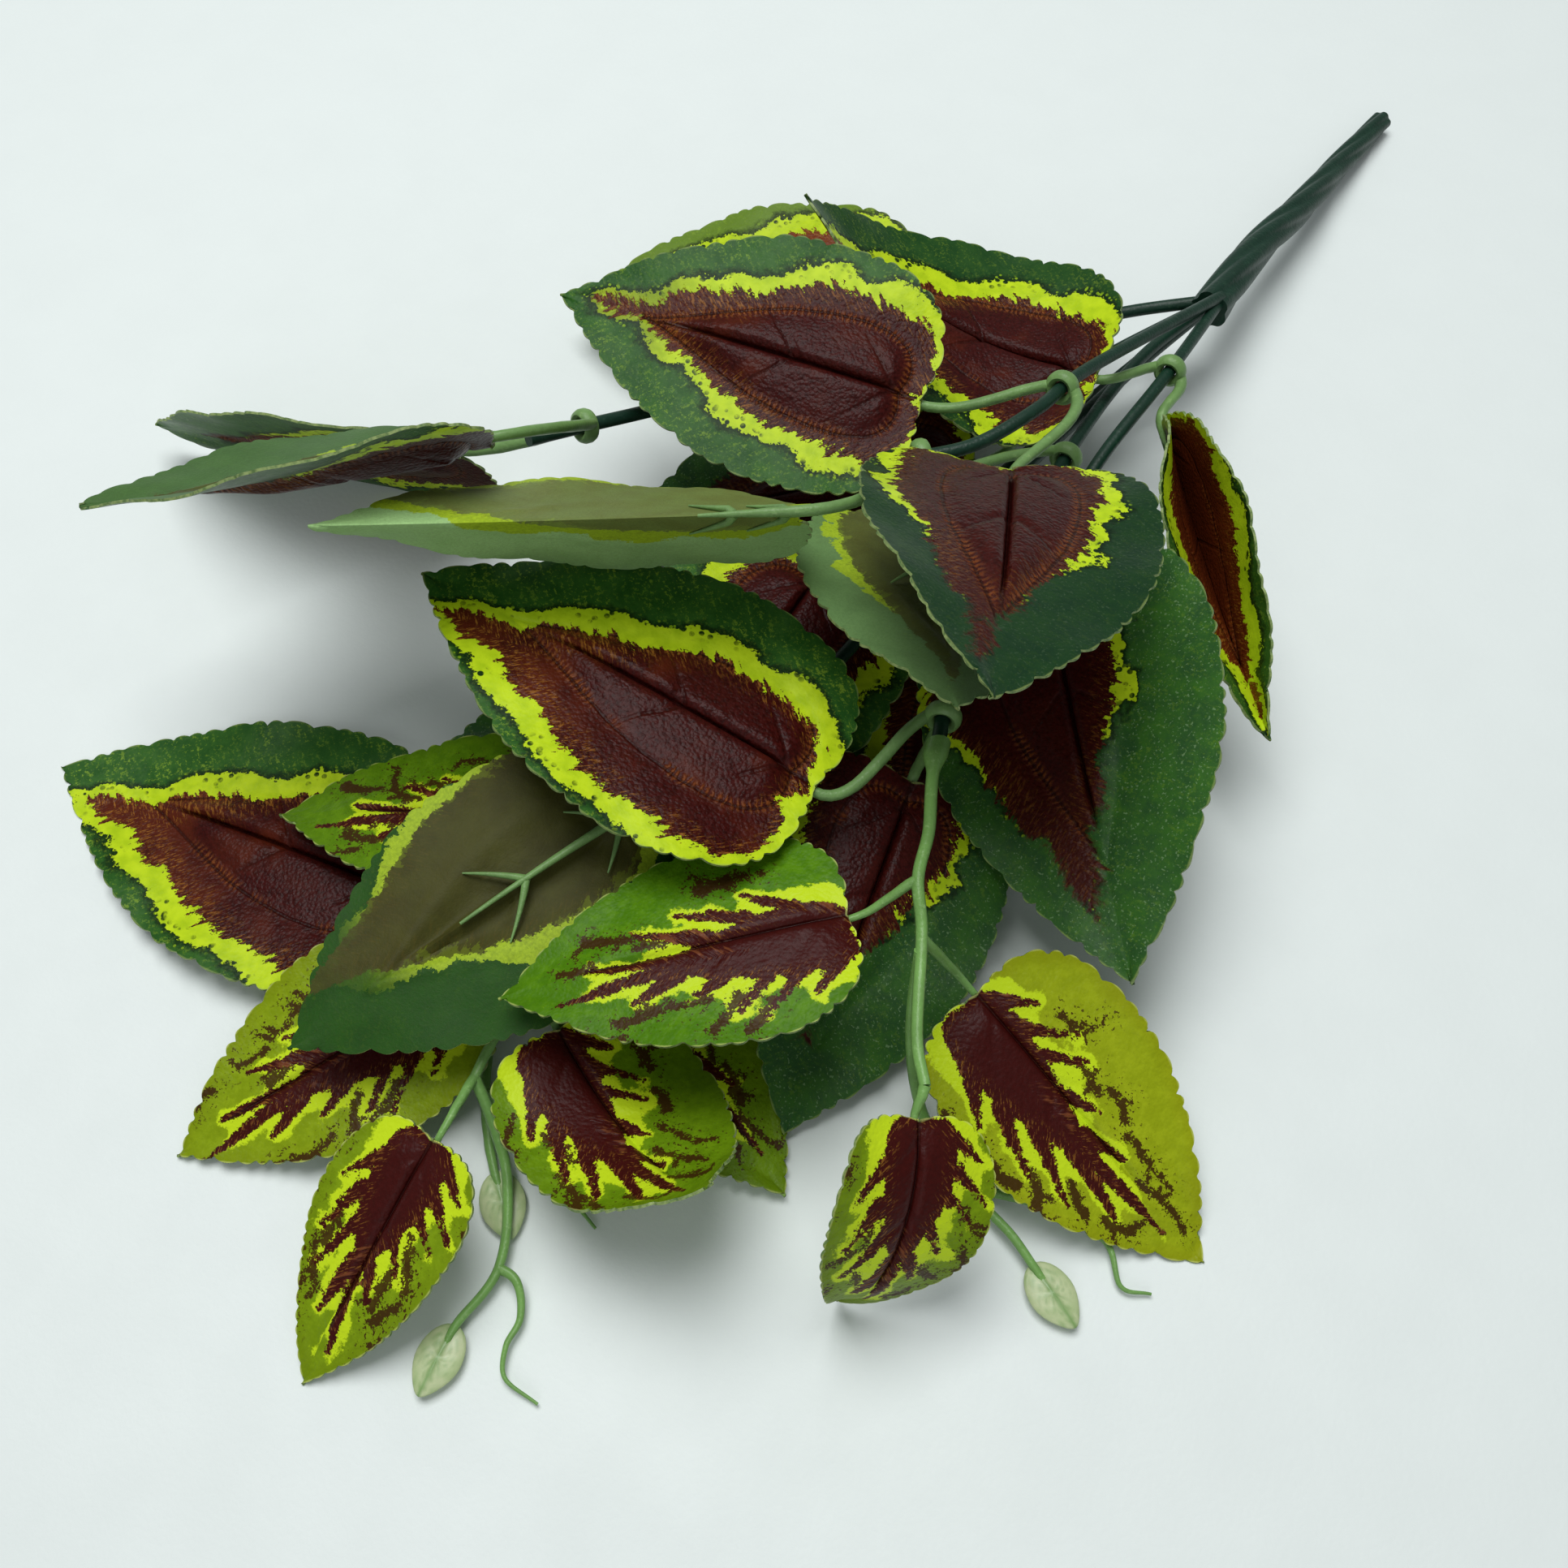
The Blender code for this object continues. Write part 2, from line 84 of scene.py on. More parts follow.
# The large leaves' print, in millimetres
FADED_BAND = 2.8             # how far a faded band reaches round the heart
FADED_TIP = 4.6              # how much less it reaches towards the tip
VEIN_SPACING = 5.5
STITCH_SPACING = 0.6
CREASE_ROOTS = (5.7, 27.0)   # where the dark side creases leave the midrib

# The small leaves' print: maroon fingers that run forward from the heart, in millimetres on a 61 mm blade
FINGERS = (
    ((4, 4), (8, 12), (11, 17)),
    ((3, 11), (7, 20), (10, 29)),
    ((6, 17), (9, 23)),
    ((2, 18), (5, 27), (6, 31), (8, 37)),
    ((1, 31), (2, 38), (3, 45)),
    ((0, 28), (-1, 40), (-2, 52)),
    ((-4, 1), (-11, 8)),
    ((-4, 7), (-13, 17)),
    ((-3, 12), (-11, 21)),
    ((-3, 20), (-7, 29)),
    ((-2, 30), (-5, 38)),
)
FINGER_ROOT = 1.7            # half widths
FINGER_TIP = 0.5
TINY_HEART = 1.35            # how much wider the tiny leaves' heart is
RING_ROUND_CORE = 3.4        # width of the bright ring
RING_ROUND_FINGERS = 0.7
LINE_STARTS = (11, 19, 27, 34, 42)
LINE_HALF_WIDTH = 0.75
LINE_STEP = 2.0
TWIG_CHANCE = 0.45

# Routes, with radii in millimetres
ROUTE_STEPS = 10             # points to a span
COLLAR_ROUTE_STEPS = 4
HANDLE_STEPS = 50
REACH_STEPS = 14             # points of a petiole before the blade
RIB_STEPS = 12               # and under it
RIB_REACH = 0.5              # of the blade's length
RIB_DROP = 0.45              # from the blade's middle to the top of its rib
FORK_STEPS = 7
LARGE_FORKS = ((0.06, 10.0), (0.62, 11.0))    # side ribs: place along the rib, and length
SMALL_FORKS = ((0.3, 5.0),)
MOULDING_SHARP = 55          # degrees; a steeper edge is left crisp
STEM_RADIUS = 1.4
PETIOLE_RADIUS = 1.1
SPRAY_RADIUS = 1.05
SPRAY_RIB_RADIUS = 0.75
SLEEVE_EXTRA = 1.1           # how much thicker a spray's foot is
COLLAR_RADIUS = 2.7
COLLAR_WIRE = 1.05
COLLAR_INSET = 0.15
COLLAR_STRETCH = 1.6         # how much wider along the stem than thick
CROWN_RADIUS = 4.6
HANDLE_END_RADIUS = 2.7
HANDLE_LOBES = 5
HANDLE_TURNS = 4.5
HANDLE_VALLEY = 0.16         # depth as a share of the radius

# Bud leaf, in millimetres
BUD_HALF_LENGTH = 5.9
BUD_HALF_WIDTH = 4.1
BUD_HALF_DEPTH = 0.8
BUD_VEINS = 3.2              # side veins to half a length

# Stage, in metres, with the lamps' powers in watts
TABLE_HALF_SIZE = 2
LAMPS = (("overhead", (-0.28, 0.14, 1.2), 0.8, 14.0), ("window", (0.6, -1.2, 0.9), 1.0, 3.5))
ROOM_STRENGTH = 0.25
CAMERA_PLACE = (97.5, -139.3, 270)    # in the layout's millimetres
CAMERA_BEARING = 35          # degrees round from -Y towards +X
CAMERA_HEIGHT = 61           # degrees above the table
SENSOR_WIDTH = 36            # millimetres
CLIP_START = 0.01


def rgb(red, green, blue):
    """A colour given as it looks on screen (0 to 255), as linear light."""
    return tuple(c / 255 / 12.92 if c <= 10 else ((c / 255 + 0.055) / 1.055) ** 2.4
                 for c in (red, green, blue))


# Colours of the large leaves' print, beside those that the panel sets
DEEP_GREEN = rgb(34, 78, 26)
DULL_GREEN = rgb(40, 76, 38)
FLECK_GREEN = rgb(118, 150, 44)
DUSTY_GREEN = rgb(112, 142, 100)
YELLOWED_GREEN = rgb(118, 146, 40)
TEAL = rgb(12, 38, 26)
BLACK_GREEN = rgb(8, 26, 8)
BEAD_YELLOW = rgb(140, 176, 26)
DULL_BAND = rgb(160, 190, 20)
DOT_GREEN = rgb(16, 44, 10)
BLACK_MAROON = rgb(38, 7, 5)
RUST = rgb(106, 44, 18)
TAN = rgb(128, 60, 16)
OCHRE = rgb(150, 98, 34)
SUNK_MAROON = rgb(58, 22, 18)
STITCH_BROWN = rgb(142, 78, 30)
# Painted shade: the dark in the pressed line, the pressed midribs and the side creases
CREASE_SHADE_MAROON = rgb(30, 8, 6)
CREASE_SHADE_BLACK = rgb(22, 5, 4)
WORN_EDGE = rgb(140, 158, 88)

# Colours of the large leaves' backs; the sage ones are the pale leaves', a painted sheen that stands for
# light glancing off them
UNDERSIDE_SHADE = rgb(30, 66, 26)
SHEEN_SAGE = rgb(166, 206, 138)
SHEEN_SAGE_MOTTLE = rgb(150, 192, 122)
OLIVE = rgb(72, 74, 30)
OLIVE_SHADE = rgb(52, 52, 20)
SHEEN_OLIVE = rgb(114, 132, 70)
SHEEN_OLIVE_MOTTLE = rgb(104, 112, 56)
RING_YELLOW = rgb(158, 184, 44)
RING_SHADE = rgb(140, 168, 40)
WEAVE_SHADE = rgb(50, 58, 30)

# Colours of the small leaves
LIME = rgb(146, 160, 18)
FRESH_GREEN = rgb(88, 138, 14)
LEMON = rgb(166, 180, 28)
MOSS_GREEN = rgb(60, 108, 10)
MUSTARD = rgb(138, 142, 10)
LINE_BROWN = rgb(58, 32, 10)
DARK_MAROON = rgb(54, 14, 11)
FLECK_OCHRE = rgb(148, 100, 36)
PALE_EDGE = rgb(196, 204, 120)
# Painted highlight on the crests of the crinkles
CRINKLE_HIGHLIGHT_BROWN = rgb(134, 78, 44)
SMALL_BACK = rgb(138, 172, 84)
SMALL_BACK_SHADE = rgb(116, 152, 66)
SMALL_BACK_HEART = rgb(104, 98, 50)

# Colours of the cut rims, the bud leaves, the rubbed places of the plastic, and the room
CUT_PALE = rgb(138, 156, 94)
CUT_GREEN = rgb(84, 112, 58)
BUD_PALE = rgb(206, 218, 170)
BUD_GREEN = rgb(186, 206, 150)
RUBBED_PETIOLE = rgb(150, 180, 118)
RUBBED_SPRAY = rgb(172, 206, 140)
RUBBED_STEM = rgb(56, 88, 66)
ROOM_LIGHT = rgb(240, 245, 247)


@dataclass
class Outline:
    """A closed shape like the blade's edge: width, start and end as shares of the blade's, and its taper.

    taper is how early the shape draws in towards the tip.
    """
    width: float
    start: float
    end: float
    taper: float


EDGE = Outline(width=1.0, start=0.0, end=1.0, taper=0.95)
SEAM = Outline(width=0.46, start=0.06, end=0.76, taper=1.7)
SMALL_SEAM = Outline(width=0.8, start=0.02, end=0.9, taper=0.95)
BAND = Outline(width=0.79, start=-0.02, end=0.99, taper=1.7)
HEART = Outline(width=0.63, start=0.038, end=0.93, taper=2.2)
CORE = Outline(width=0.34, start=0.0, end=0.64, taper=1.9)


@dataclass
class BladeSize:
    """Length and width of a blade in millimetres, with its scallops' pitch and depth."""
    length: float
    width: float
    pitch: float
    depth: float


LARGE = BladeSize(length=82, width=57, pitch=4.4, depth=1.2)
SMALL = BladeSize(length=61, width=40, pitch=3.8, depth=1.15)
TINY = BladeSize(length=46, width=30, pitch=2.5, depth=0.65)


@dataclass
class Leaf:
    """A blade: its base (mm), where it points and how it bends (degrees), and how its print sits on it (mm).

    lobe is how far the blade runs back beside its base and rib how far the rib runs out, as shares of its
    length. print_wide stretches the print across. fade is how far the band breaks up and the heart's tip
    sinks into the green, tone goes from green (0) to yellow (1) or a deep teal (-1), and pale is how far the
    back is painted light sage: a painted sheen, the paler look of a back that catches the light.
    """
    name: str
    size: BladeSize
    base: tuple
    heading: float
    pitch: float
    roll: float = 0
    bend: float = 8
    fold: float = 5
    tip_fold: float = None
    twist: float = 0
    lobe: float = 0.07
    scale: float = 1.0
    rib: float = RIB_REACH
    print_across: float = 0
    print_along: float = 0
    print_turn: float = 0
    print_wide: float = 1
    fade: float = 0
    tone: float = 0
    # painted sheen: how far the back is painted light sage
    pale: float = 0

    @property
    def length(self):
        return self.size.length * self.scale

    @property
    def half_width(self):
        return self.size.width * self.scale / 2


LEAVES = [
    Leaf("leaf_1a", LARGE, (-30, 96, 18), heading=-151, pitch=-5, roll=5, bend=8, fold=5,
         print_across=2, tone=1),
    Leaf("leaf_1b", LARGE, (4, 67, 15), heading=-136, pitch=-8, roll=0, bend=7, fold=4, fade=1),
    Leaf("leaf_1c", LARGE, (-53, -17, 60), heading=-134, pitch=0, roll=130, bend=4, fold=-12, twist=20,
         scale=0.89, print_along=-9, fade=0.8, pale=0.15),
    Leaf("leaf_1d", LARGE, (-80, -4, 27), heading=-164, pitch=-13, roll=118, bend=8, fold=4, twist=-5,
         print_along=-9, fade=0.6, pale=0.5),
    Leaf("leaf_2a", LARGE, (-3, 52, 42), heading=-165, pitch=2, roll=17, bend=6, fold=2, scale=0.96,
         print_across=1, print_along=-2, fade=0.25),
    Leaf("leaf_2b", LARGE, (25, 38, 53), heading=-65, pitch=24, roll=-2, bend=11, fold=6, twist=22, lobe=0.09,
         scale=0.95, print_across=2.5, print_along=-3, print_wide=1.1, fade=1, tone=-1),
    Leaf("leaf_2c", LARGE, (5, -4, 69), heading=-143, pitch=0, roll=212, bend=10, fold=78, tip_fold=68,
         twist=12, lobe=0.09, rib=0.2, print_across=-11, pale=1),
    Leaf("leaf_3a", LARGE, (18, 92, 28), heading=-167, pitch=21, roll=12, bend=-92, fold=8, twist=-42,
         scale=0.99, print_across=-2.5, print_along=-2, tone=-0.6),
    Leaf("leaf_3b", LARGE, (36, 88, 28), heading=-45, pitch=-5, roll=-12, bend=-30, fold=86, tip_fold=55,
         twist=-12, lobe=0.0, scale=0.93, print_across=-1, print_wide=1.22, tone=0.5),
    Leaf("leaf_3c", LARGE, (36, 39, 29), heading=-49, pitch=-4, roll=-28, bend=11, fold=6, scale=1.04,
         print_across=6.5, print_along=-5, print_turn=5, fade=1),
    Leaf("leaf_3d", LARGE, (34, 38, 9), heading=-82, pitch=-5, roll=0, bend=6, fold=3),
    Leaf("leaf_4a", LARGE, (9, 34, 33), heading=-54, pitch=26, roll=190, bend=2, fold=4, scale=0.88,
         print_along=-4, fade=0.6, pale=0.35),
    Leaf("leaf_4b", LARGE, (27, -29, 33), heading=-174, pitch=6, roll=-6, bend=10, fold=4, scale=1.03,
         print_across=-5.5),
    Leaf("leaf_4c", LARGE, (37, -10, 17), heading=-76, pitch=-11, roll=14, bend=9, fold=5, scale=0.86,
         print_across=3, print_along=-13, fade=1),
    Leaf("leaf_5a", LARGE, (-5, 22, 18), heading=-85, pitch=-3, roll=2, bend=9, fold=4,
         print_across=-1.5, fade=0.3),
    Leaf("leaf_5b", LARGE, (1, -50, 27), heading=-109, pitch=-6, roll=186, bend=-16, fold=4, scale=0.88,
         print_across=-6.5, print_along=-1, print_wide=1.06, fade=0.35),
    Leaf("leaf_6a", LARGE, (1, -17, 10), heading=-139, pitch=-2, roll=4, bend=9, fold=5, scale=0.77, fade=1),
    Leaf("leaf_7a", LARGE, (-31, -80, 4), heading=-167, pitch=-4, roll=-3, bend=6, fold=4, scale=1.02,
         print_across=-4.5, print_along=-1),
    Leaf("leaf_4d", SMALL, (46, -47, 34), heading=-133, pitch=-6, roll=-8, bend=5, fold=3,
         print_across=-3, tone=0.05),
    Leaf("leaf_4e", SMALL, (70, -41, 20), heading=-12, pitch=-20, roll=-10, bend=8, fold=5,
         print_across=4, tone=0.9),
    Leaf("leaf_4f", TINY, (75, -70, 34), heading=-85, pitch=-52, roll=42, bend=90, fold=8, scale=0.97,
         rib=0.2, tone=0.4),
    Leaf("leaf_5c", SMALL, (-9, -87, 10), heading=-114, pitch=-9, roll=5, bend=10, fold=6,
         print_across=-2, print_along=6, tone=0.6),
    Leaf("leaf_5d", SMALL, (12, -87, 14), heading=-14, pitch=30, roll=14, bend=-100, fold=5, scale=0.95,
         rib=0.3, print_across=4, tone=0.25),
    Leaf("leaf_5e", TINY, (8, -115, 17), heading=-85, pitch=-22, roll=-10, bend=4, fold=6, scale=0.99,
         print_across=0.5, tone=0.45),
    Leaf("leaf_6b", SMALL, (6, -67, 4), heading=-19, pitch=-2, roll=6, bend=6, fold=5, scale=0.94,
         print_across=1, tone=0.3),
    Leaf("leaf_7b", SMALL, (-10, -52, 17), heading=-149, pitch=-7, roll=-14, bend=6, fold=4, print_across=-2,
         tone=0.15),
]
LEAF = {leaf.name: leaf for leaf in LEAVES}

STEMS = {
    "1": [(26, 138, 18), (10, 126, 15), (-3, 111, 14), (-15, 94, 17), (-26, 76, 22), (-36, 58, 25),
          (-52, 26, 32), (-57, 12, 37), (-61, -1, 42)],
    "2": [(27, 136, 21), (19, 83, 38), (18, 62, 44), (13, 46, 45), (4, 35, 45)],
    "3": [(27, 138, 19), (30, 102, 27), (30, 70, 27), (33, 46, 22)],
    "4": [(26, 138, 18), (21, 110, 20), (22, 78, 23), (28, 39, 28), (36, 3, 31), (40, -8, 33)],
    "5": [(26, 138, 18), (20, 104, 18), (14, 50, 20), (11, -4, 22), (8, -27, 22), (6, -38, 21)],
    "6": [(25, 138, 17), (16, 101, 13), (6, 61, 7), (-1, 30, 5), (-3, 0, 5), (-5, -30, 5), (-4, -50, 5)],
    "7": [(25, 138, 17), (8, 104, 12), (-9, 60, 5), (-17, 0, 4), (-19, -40, 4), (-18, -66, 4)],
}
HANDLE_ROUTE = [(26, 134, 18), (25, 162, 14.5), (26, 188, 10), (26, 214, 5.5), (27, 240, 2.5)]


@dataclass
class Petioles:
    """A moulded ring on a stem with a petiole for each of its leaves; at is its place on the stem, 0 to 1."""
    name: str
    stem: str
    at: float
    leaves: tuple


PETIOLES = [
    Petioles("petioles_1_middle", "1", 0.22, ("leaf_1a", "leaf_1b")),
    Petioles("petioles_1_end", "1", 0.92, ("leaf_1c", "leaf_1d")),
    Petioles("petioles_2_middle", "2", 0.62, ("leaf_2a", "leaf_2b")),
    Petioles("petioles_2_end", "2", 0.97, ("leaf_2c",)),
    Petioles("petioles_3_middle", "3", 0.38, ("leaf_3a", "leaf_3b")),
    Petioles("petioles_3_end", "3", 0.96, ("leaf_3c", "leaf_3d")),
    Petioles("petioles_4_middle", "4", 0.45, ("leaf_4a",)),
    Petioles("petioles_4_end", "4", 0.96, ("leaf_4b", "leaf_4c")),
    Petioles("petioles_5_middle", "5", 0.6, ("leaf_5a",)),
    Petioles("petioles_5_end", "5", 0.9, ("leaf_5b",)),
    Petioles("petioles_6", "6", 0.74, ("leaf_6a",)),
    Petioles("petioles_7", "7", 0.96, ("leaf_7a", "leaf_7b")),
]


@dataclass
class Spray:
    """A light green moulded branch: its axis, the twigs that end in leaves, a bud leaf and a tendril."""
    name: str
    axis: list
    leaves: dict
    bud: list
    tendril: list


SPRAYS = [
    Spray("spray_4", [(40.2, -8.5, 33), (44, -17, 35), (49, -26, 37), (53, -36, 38), (59, -44, 36),
                      (67, -58, 35), (73, -65, 35)],
          {"leaf_4d": (53, -36, 38), "leaf_4e": (59, -44, 36), "leaf_4f": (73, -65, 35)},
          bud=[(60, -46, 36), (64, -53, 20), (72, -60, 6), (86, -66, 3), (97, -69, 3), (107, -73, 2)],
          tendril=[(86, -66, 3), (98, -61, 2), (110, -60, 2), (116, -65, 1.5), (121, -63, 1)]),
    Spray("spray_5", [(5.9, -38.5, 21), (4, -56, 18), (1, -74, 15), (3, -92, 14), (5, -102, 13)],
          {"leaf_5c": (1, -74, 15), "leaf_5d": (2, -80, 14.5), "leaf_5e": (5, -102, 13)},
          bud=[(5, -102, 13), (13, -107, 6), (20, -113, 4), (27, -124, 3), (27, -135, 2.5), (28, -141, 2)],
          tendril=[(27, -124, 3), (31, -124, 3), (35, -128, 2), (36, -133, 2), (39, -137, 1.5),
                   (46, -137, 1)]),
    Spray("spray_6", [(-4, -50.6, 5), (-5, -64, 4), (-6, -76, 3), (-3, -90, 2), (4, -101, 2)],
          {"leaf_6b": (-4, -59, 5)},
          bud=[(4, -101, 2), (12, -109, 2), (20, -115, 1.5)],
          tendril=[(4, -101, 2), (16, -105, 2), (27, -107, 1.5), (36, -109, 1)]),
]


def length_choice(name, description, millimetres):
    """A length that the panel shows."""
    return bpy.props.FloatProperty(
        name=name, description=description, default=millimetres * MM, unit="LENGTH")


def colour_choice(name, description, *screen):
    """A colour that the panel shows."""
    return bpy.props.FloatVectorProperty(
        name=name, description=description, default=rgb(*screen), subtype="COLOR")


class LeafSettings(bpy.types.PropertyGroup):
    thickness: length_choice("Blade thickness", "Thickness of a leaf's cloth", 0.5)
    pillow: length_choice("Pillow height", "How far a large leaf is puffed beside its midrib", 2.2)
    small_pillow: length_choice(
        "Small pillow height", "How far a small leaf is puffed beside its midrib", 1.2)
    groove: length_choice("Groove depth", "Depth of the pressed line inside a large leaf", 0.35)
    ripple: length_choice("Edge ripple", "Height of the slow waves along a leaf's edge", 0.5)


class ColourSettings(bpy.types.PropertyGroup):
    maroon: colour_choice("Maroon", "Printed centre of the leaves", 62, 16, 13)
    band: colour_choice("Band", "Bright band round the maroon", 188, 214, 30)
    dark_green: colour_choice("Dark green", "Margin of the large leaves", 52, 96, 34)
    leaf_green: colour_choice("Leaf green", "Body of the small leaves", 60, 110, 6)
    underside: colour_choice("Underside", "Back of the leaves", 36, 78, 20)
    petiole: colour_choice("Petiole green", "Petioles of the large leaves", 112, 150, 86)
    spray: colour_choice("Spray green", "Moulded sprays", 118, 164, 86)
    stem: colour_choice("Stem green", "Wired stems and the handle", 14, 50, 35)


class StageSettings(bpy.types.PropertyGroup):
    table: colour_choice("Table", "Colour of the table", 224, 232, 230)
    lens: bpy.props.FloatProperty(
        name="Lens", description="Focal length of the camera in millimetres", default=34.66)


class ColeusSettings(bpy.types.PropertyGroup):
    leaf: bpy.props.PointerProperty(
        name="Leaves", description="Sizes of the leaves' relief", type=LeafSettings)
    colour: bpy.props.PointerProperty(name="Colours", description="Colours of the bush", type=ColourSettings)
    stage: bpy.props.PointerProperty(name="Stage", description="Table and camera", type=StageSettings)


class Tone:
    """The output of a shader node; arithmetic on it adds Math nodes to its material."""

    def __init__(self, paint, socket):
        self.paint = paint
        self.socket = socket

    def __add__(self, other):
        return self.paint.maths("ADD", self, other)

    def __sub__(self, other):
        return self.paint.maths("SUBTRACT", self, other)

    def __rsub__(self, other):
        return self.paint.maths("SUBTRACT", other, self)

    def __mul__(self, other):
        return self.paint.maths("MULTIPLY", self, other)

    def __abs__(self):
        return self.paint.maths("ABSOLUTE", self, 0.0)

    def __gt__(self, other):
        return self.paint.maths("GREATER_THAN", self, other)

    __radd__ = __add__
    __rmul__ = __mul__


class Paint:
    """A procedural material whose nodes are added by kind and combined as Python expressions."""

    def __init__(self, name):
        self.material = bpy.data.materials.new(name)
        self.material.use_nodes = True
        self.tree = self.material.node_tree
        self.shader = self.tree.nodes["Principled BSDF"]

    @staticmethod
    def find(sockets, key):
        if isinstance(key, int):
            return sockets[key]
        matches = [s for s in sockets if s.identifier == key] or [s for s in sockets if s.name == key]
        return matches[0]

    def feed(self, socket, value):
        if isinstance(value, Tone):
            self.tree.links.new(value.socket, socket)
        else:
            socket.default_value = value

    def add(self, kind, settings, sockets, output=0):
        """A node of a kind: its settings first, then its sockets' values or links; returns one output."""
        node = self.tree.nodes.new(kind)
        for key, value in settings.items():
            setattr(node, key, value)
        for key, value in sockets.items():
            self.feed(self.find(node.inputs, key), value)
        return Tone(self, self.find(node.outputs, output))

    def maths(self, operation, first, second):
        return self.add("ShaderNodeMath", {"operation": operation}, {0: first, 1: second})

    def either(self, first, second):
        return self.maths("MAXIMUM", first, second)

    def step(self, value, low, high):
        """0 below low, 1 above high and a smooth change between them."""
        return self.add("ShaderNodeMapRange", {"interpolation_type": "SMOOTHSTEP"},
                        {"Value": value, "From Min": low, "From Max": high}, "Result")

    def mix(self, share, first, second):
        """The first colour at share 0, the second at 1."""
        colours = {"A_Color": first, "B_Color": second}
        for key, value in colours.items():
            if not isinstance(value, Tone):
                colours[key] = (*value[:3], 1)
        sockets = {"Factor_Float": share, **colours}
        return self.add("ShaderNodeMix", {"data_type": "RGBA"}, sockets, "Result_Color")

    def grain(self, where, size, detail=2.0, roughness=0.5):
        """Noise round zero, its grains about size across in the units of where."""
        sockets = {"Vector": where, "Scale": 1 / size, "Detail": detail, "Roughness": roughness}
        noise = self.add("ShaderNodeTexNoise", {}, sockets, "Fac")
        return noise - 0.5

    def cells(self, where, size):
        """Distance to the middle of the nearest cell, as a share of the cells' size."""
        return self.add("ShaderNodeTexVoronoi", {}, {"Vector": where, "Scale": 1 / size}, "Distance")

    def measure(self, name):
        """What the mesh keeps on its vertices under a name."""
        return self.add("ShaderNodeAttribute", {"attribute_name": name}, {}, "Fac")

    def vector(self, x, y, z):
        return self.add("ShaderNodeCombineXYZ", {}, {"X": x, "Y": y, "Z": z})

    def in_millimetres(self):
        """Object coordinates in millimetres."""
        place = self.add("ShaderNodeTexCoord", {}, {}, "Object")
        return self.add("ShaderNodeVectorMath", {"operation": "SCALE"}, {0: place, "Scale": 1 / MM})

    def bump(self, height, distance):
        return self.add("ShaderNodeBump", {}, {"Height": height, "Distance": distance, "Strength": 1.0})

    def finish(self, colour, roughness, normal=None, **plain):
        """Feeds the shader: what varies by links, the rest as plain values on its own sockets."""
        self.feed(self.shader.inputs["Base Color"], colour)
        self.feed(self.shader.inputs["Roughness"], roughness)
        if normal is not None:
            self.feed(self.shader.inputs["Normal"], normal)
        for key, value in plain.items():
            self.shader.inputs[key.replace("_", " ")].default_value = value
        return self.material


def to_part(point):
    """Layout millimetres to metres in the part's own frame."""
    return Vector(((point[0] - LAYOUT_CENTRE[0]) * MM, (point[1] - LAYOUT_CENTRE[1]) * MM, point[2] * MM))


def smooth(points, steps):
    """Points on a smooth curve through the given ones, steps to a span."""
    ghost_start = points[0] * 2 - points[1]
    ghost_end = points[-1] * 2 - points[-2]
    run = [ghost_start, *points, ghost_end]
    out = []
    for a, b, c, d in zip(run, run[1:], run[2:], run[3:]):
        for step in range(steps):
            t = step / steps
            out.append(0.5 * (2 * b + (c - a) * t + (2 * a - 5 * b + 4 * c - d) * t * t
                              + (3 * b - a - 3 * c + d) * t ** 3))
    return out + [points[-1]]


def place_along(points, share):
    """The point at a share of the route's length and the direction there."""
    lengths = [(b - a).length for a, b in zip(points, points[1:])]
    left = share * sum(lengths)
    for a, b, length in zip(points, points[1:], lengths):
        if left <= length:
            return a.lerp(b, left / length), (b - a).normalized()
        left -= length
    return points[-1], (points[-1] - points[-2]).normalized()


def blade_outline(s, lobe, taper):
    """Half width and forward place of the edge at s, from the base (0) to the tip (1), as shares."""
    angle = np.pi * s
    widest = 2 * (taper + 1) ** ((taper + 1) / 2) / (taper + 2) ** ((taper + 2) / 2)
    across = np.sin(angle) * np.maximum(np.cos(angle / 2), 0) ** taper / widest
    along = (1 - np.cos(angle)) / 2 - lobe * np.sin(np.pi * np.minimum(s / 0.5, 1))
    return across, along


def blade_surface(leaf, x, y, height):
    """Bends flat places on the blade (mm across, along and over it) into the leaf's own frame, in metres."""
    share = y / leaf.length
    tip_fold = leaf.fold if leaf.tip_fold is None else leaf.tip_fold
    fold = np.radians(leaf.fold + (tip_fold - leaf.fold) * share)
    side = np.where(x < 0, -1.0, 1.0)
    across = x * np.cos(fold) - side * np.sin(fold) * height * np.minimum(np.abs(x), 1)
    up = np.abs(x) * np.sin(fold) + np.where(np.abs(x) < 1, 1, np.cos(fold)) * height

    twist = np.radians(leaf.twist) * share
    across, up = across * np.cos(twist) - up * np.sin(twist), across * np.sin(twist) + up * np.cos(twist)

    radius = leaf.length / math.radians(leaf.bend)
    arc = y / radius
    return np.column_stack([across, (radius + up) * np.sin(arc), (radius + up) * np.cos(arc) - radius]) * MM


def blade_matrix(leaf):
    """Places the blade's own frame so that its chord follows the heading and pitch."""
    heading, pitch, roll = (math.radians(a) for a in (leaf.heading, leaf.pitch, leaf.roll))
    level_run = math.cos(pitch)
    chord = Vector((level_run * math.cos(heading), level_run * math.sin(heading), math.sin(pitch)))
    level = chord.cross(Vector((0, 0, 1))).normalized()
    up = level.cross(chord)
    across = level * math.cos(roll) + up * math.sin(roll)
    normal = up * math.cos(roll) - level * math.sin(roll)
    half_bend = math.radians(leaf.bend) / 2
    forward = chord * math.cos(half_bend) + normal * math.sin(half_bend)
    outward = normal * math.cos(half_bend) - chord * math.sin(half_bend)
    turn = Matrix((across, forward, outward)).transposed().to_4x4()
    return Matrix.Translation(to_part(leaf.base)) @ turn


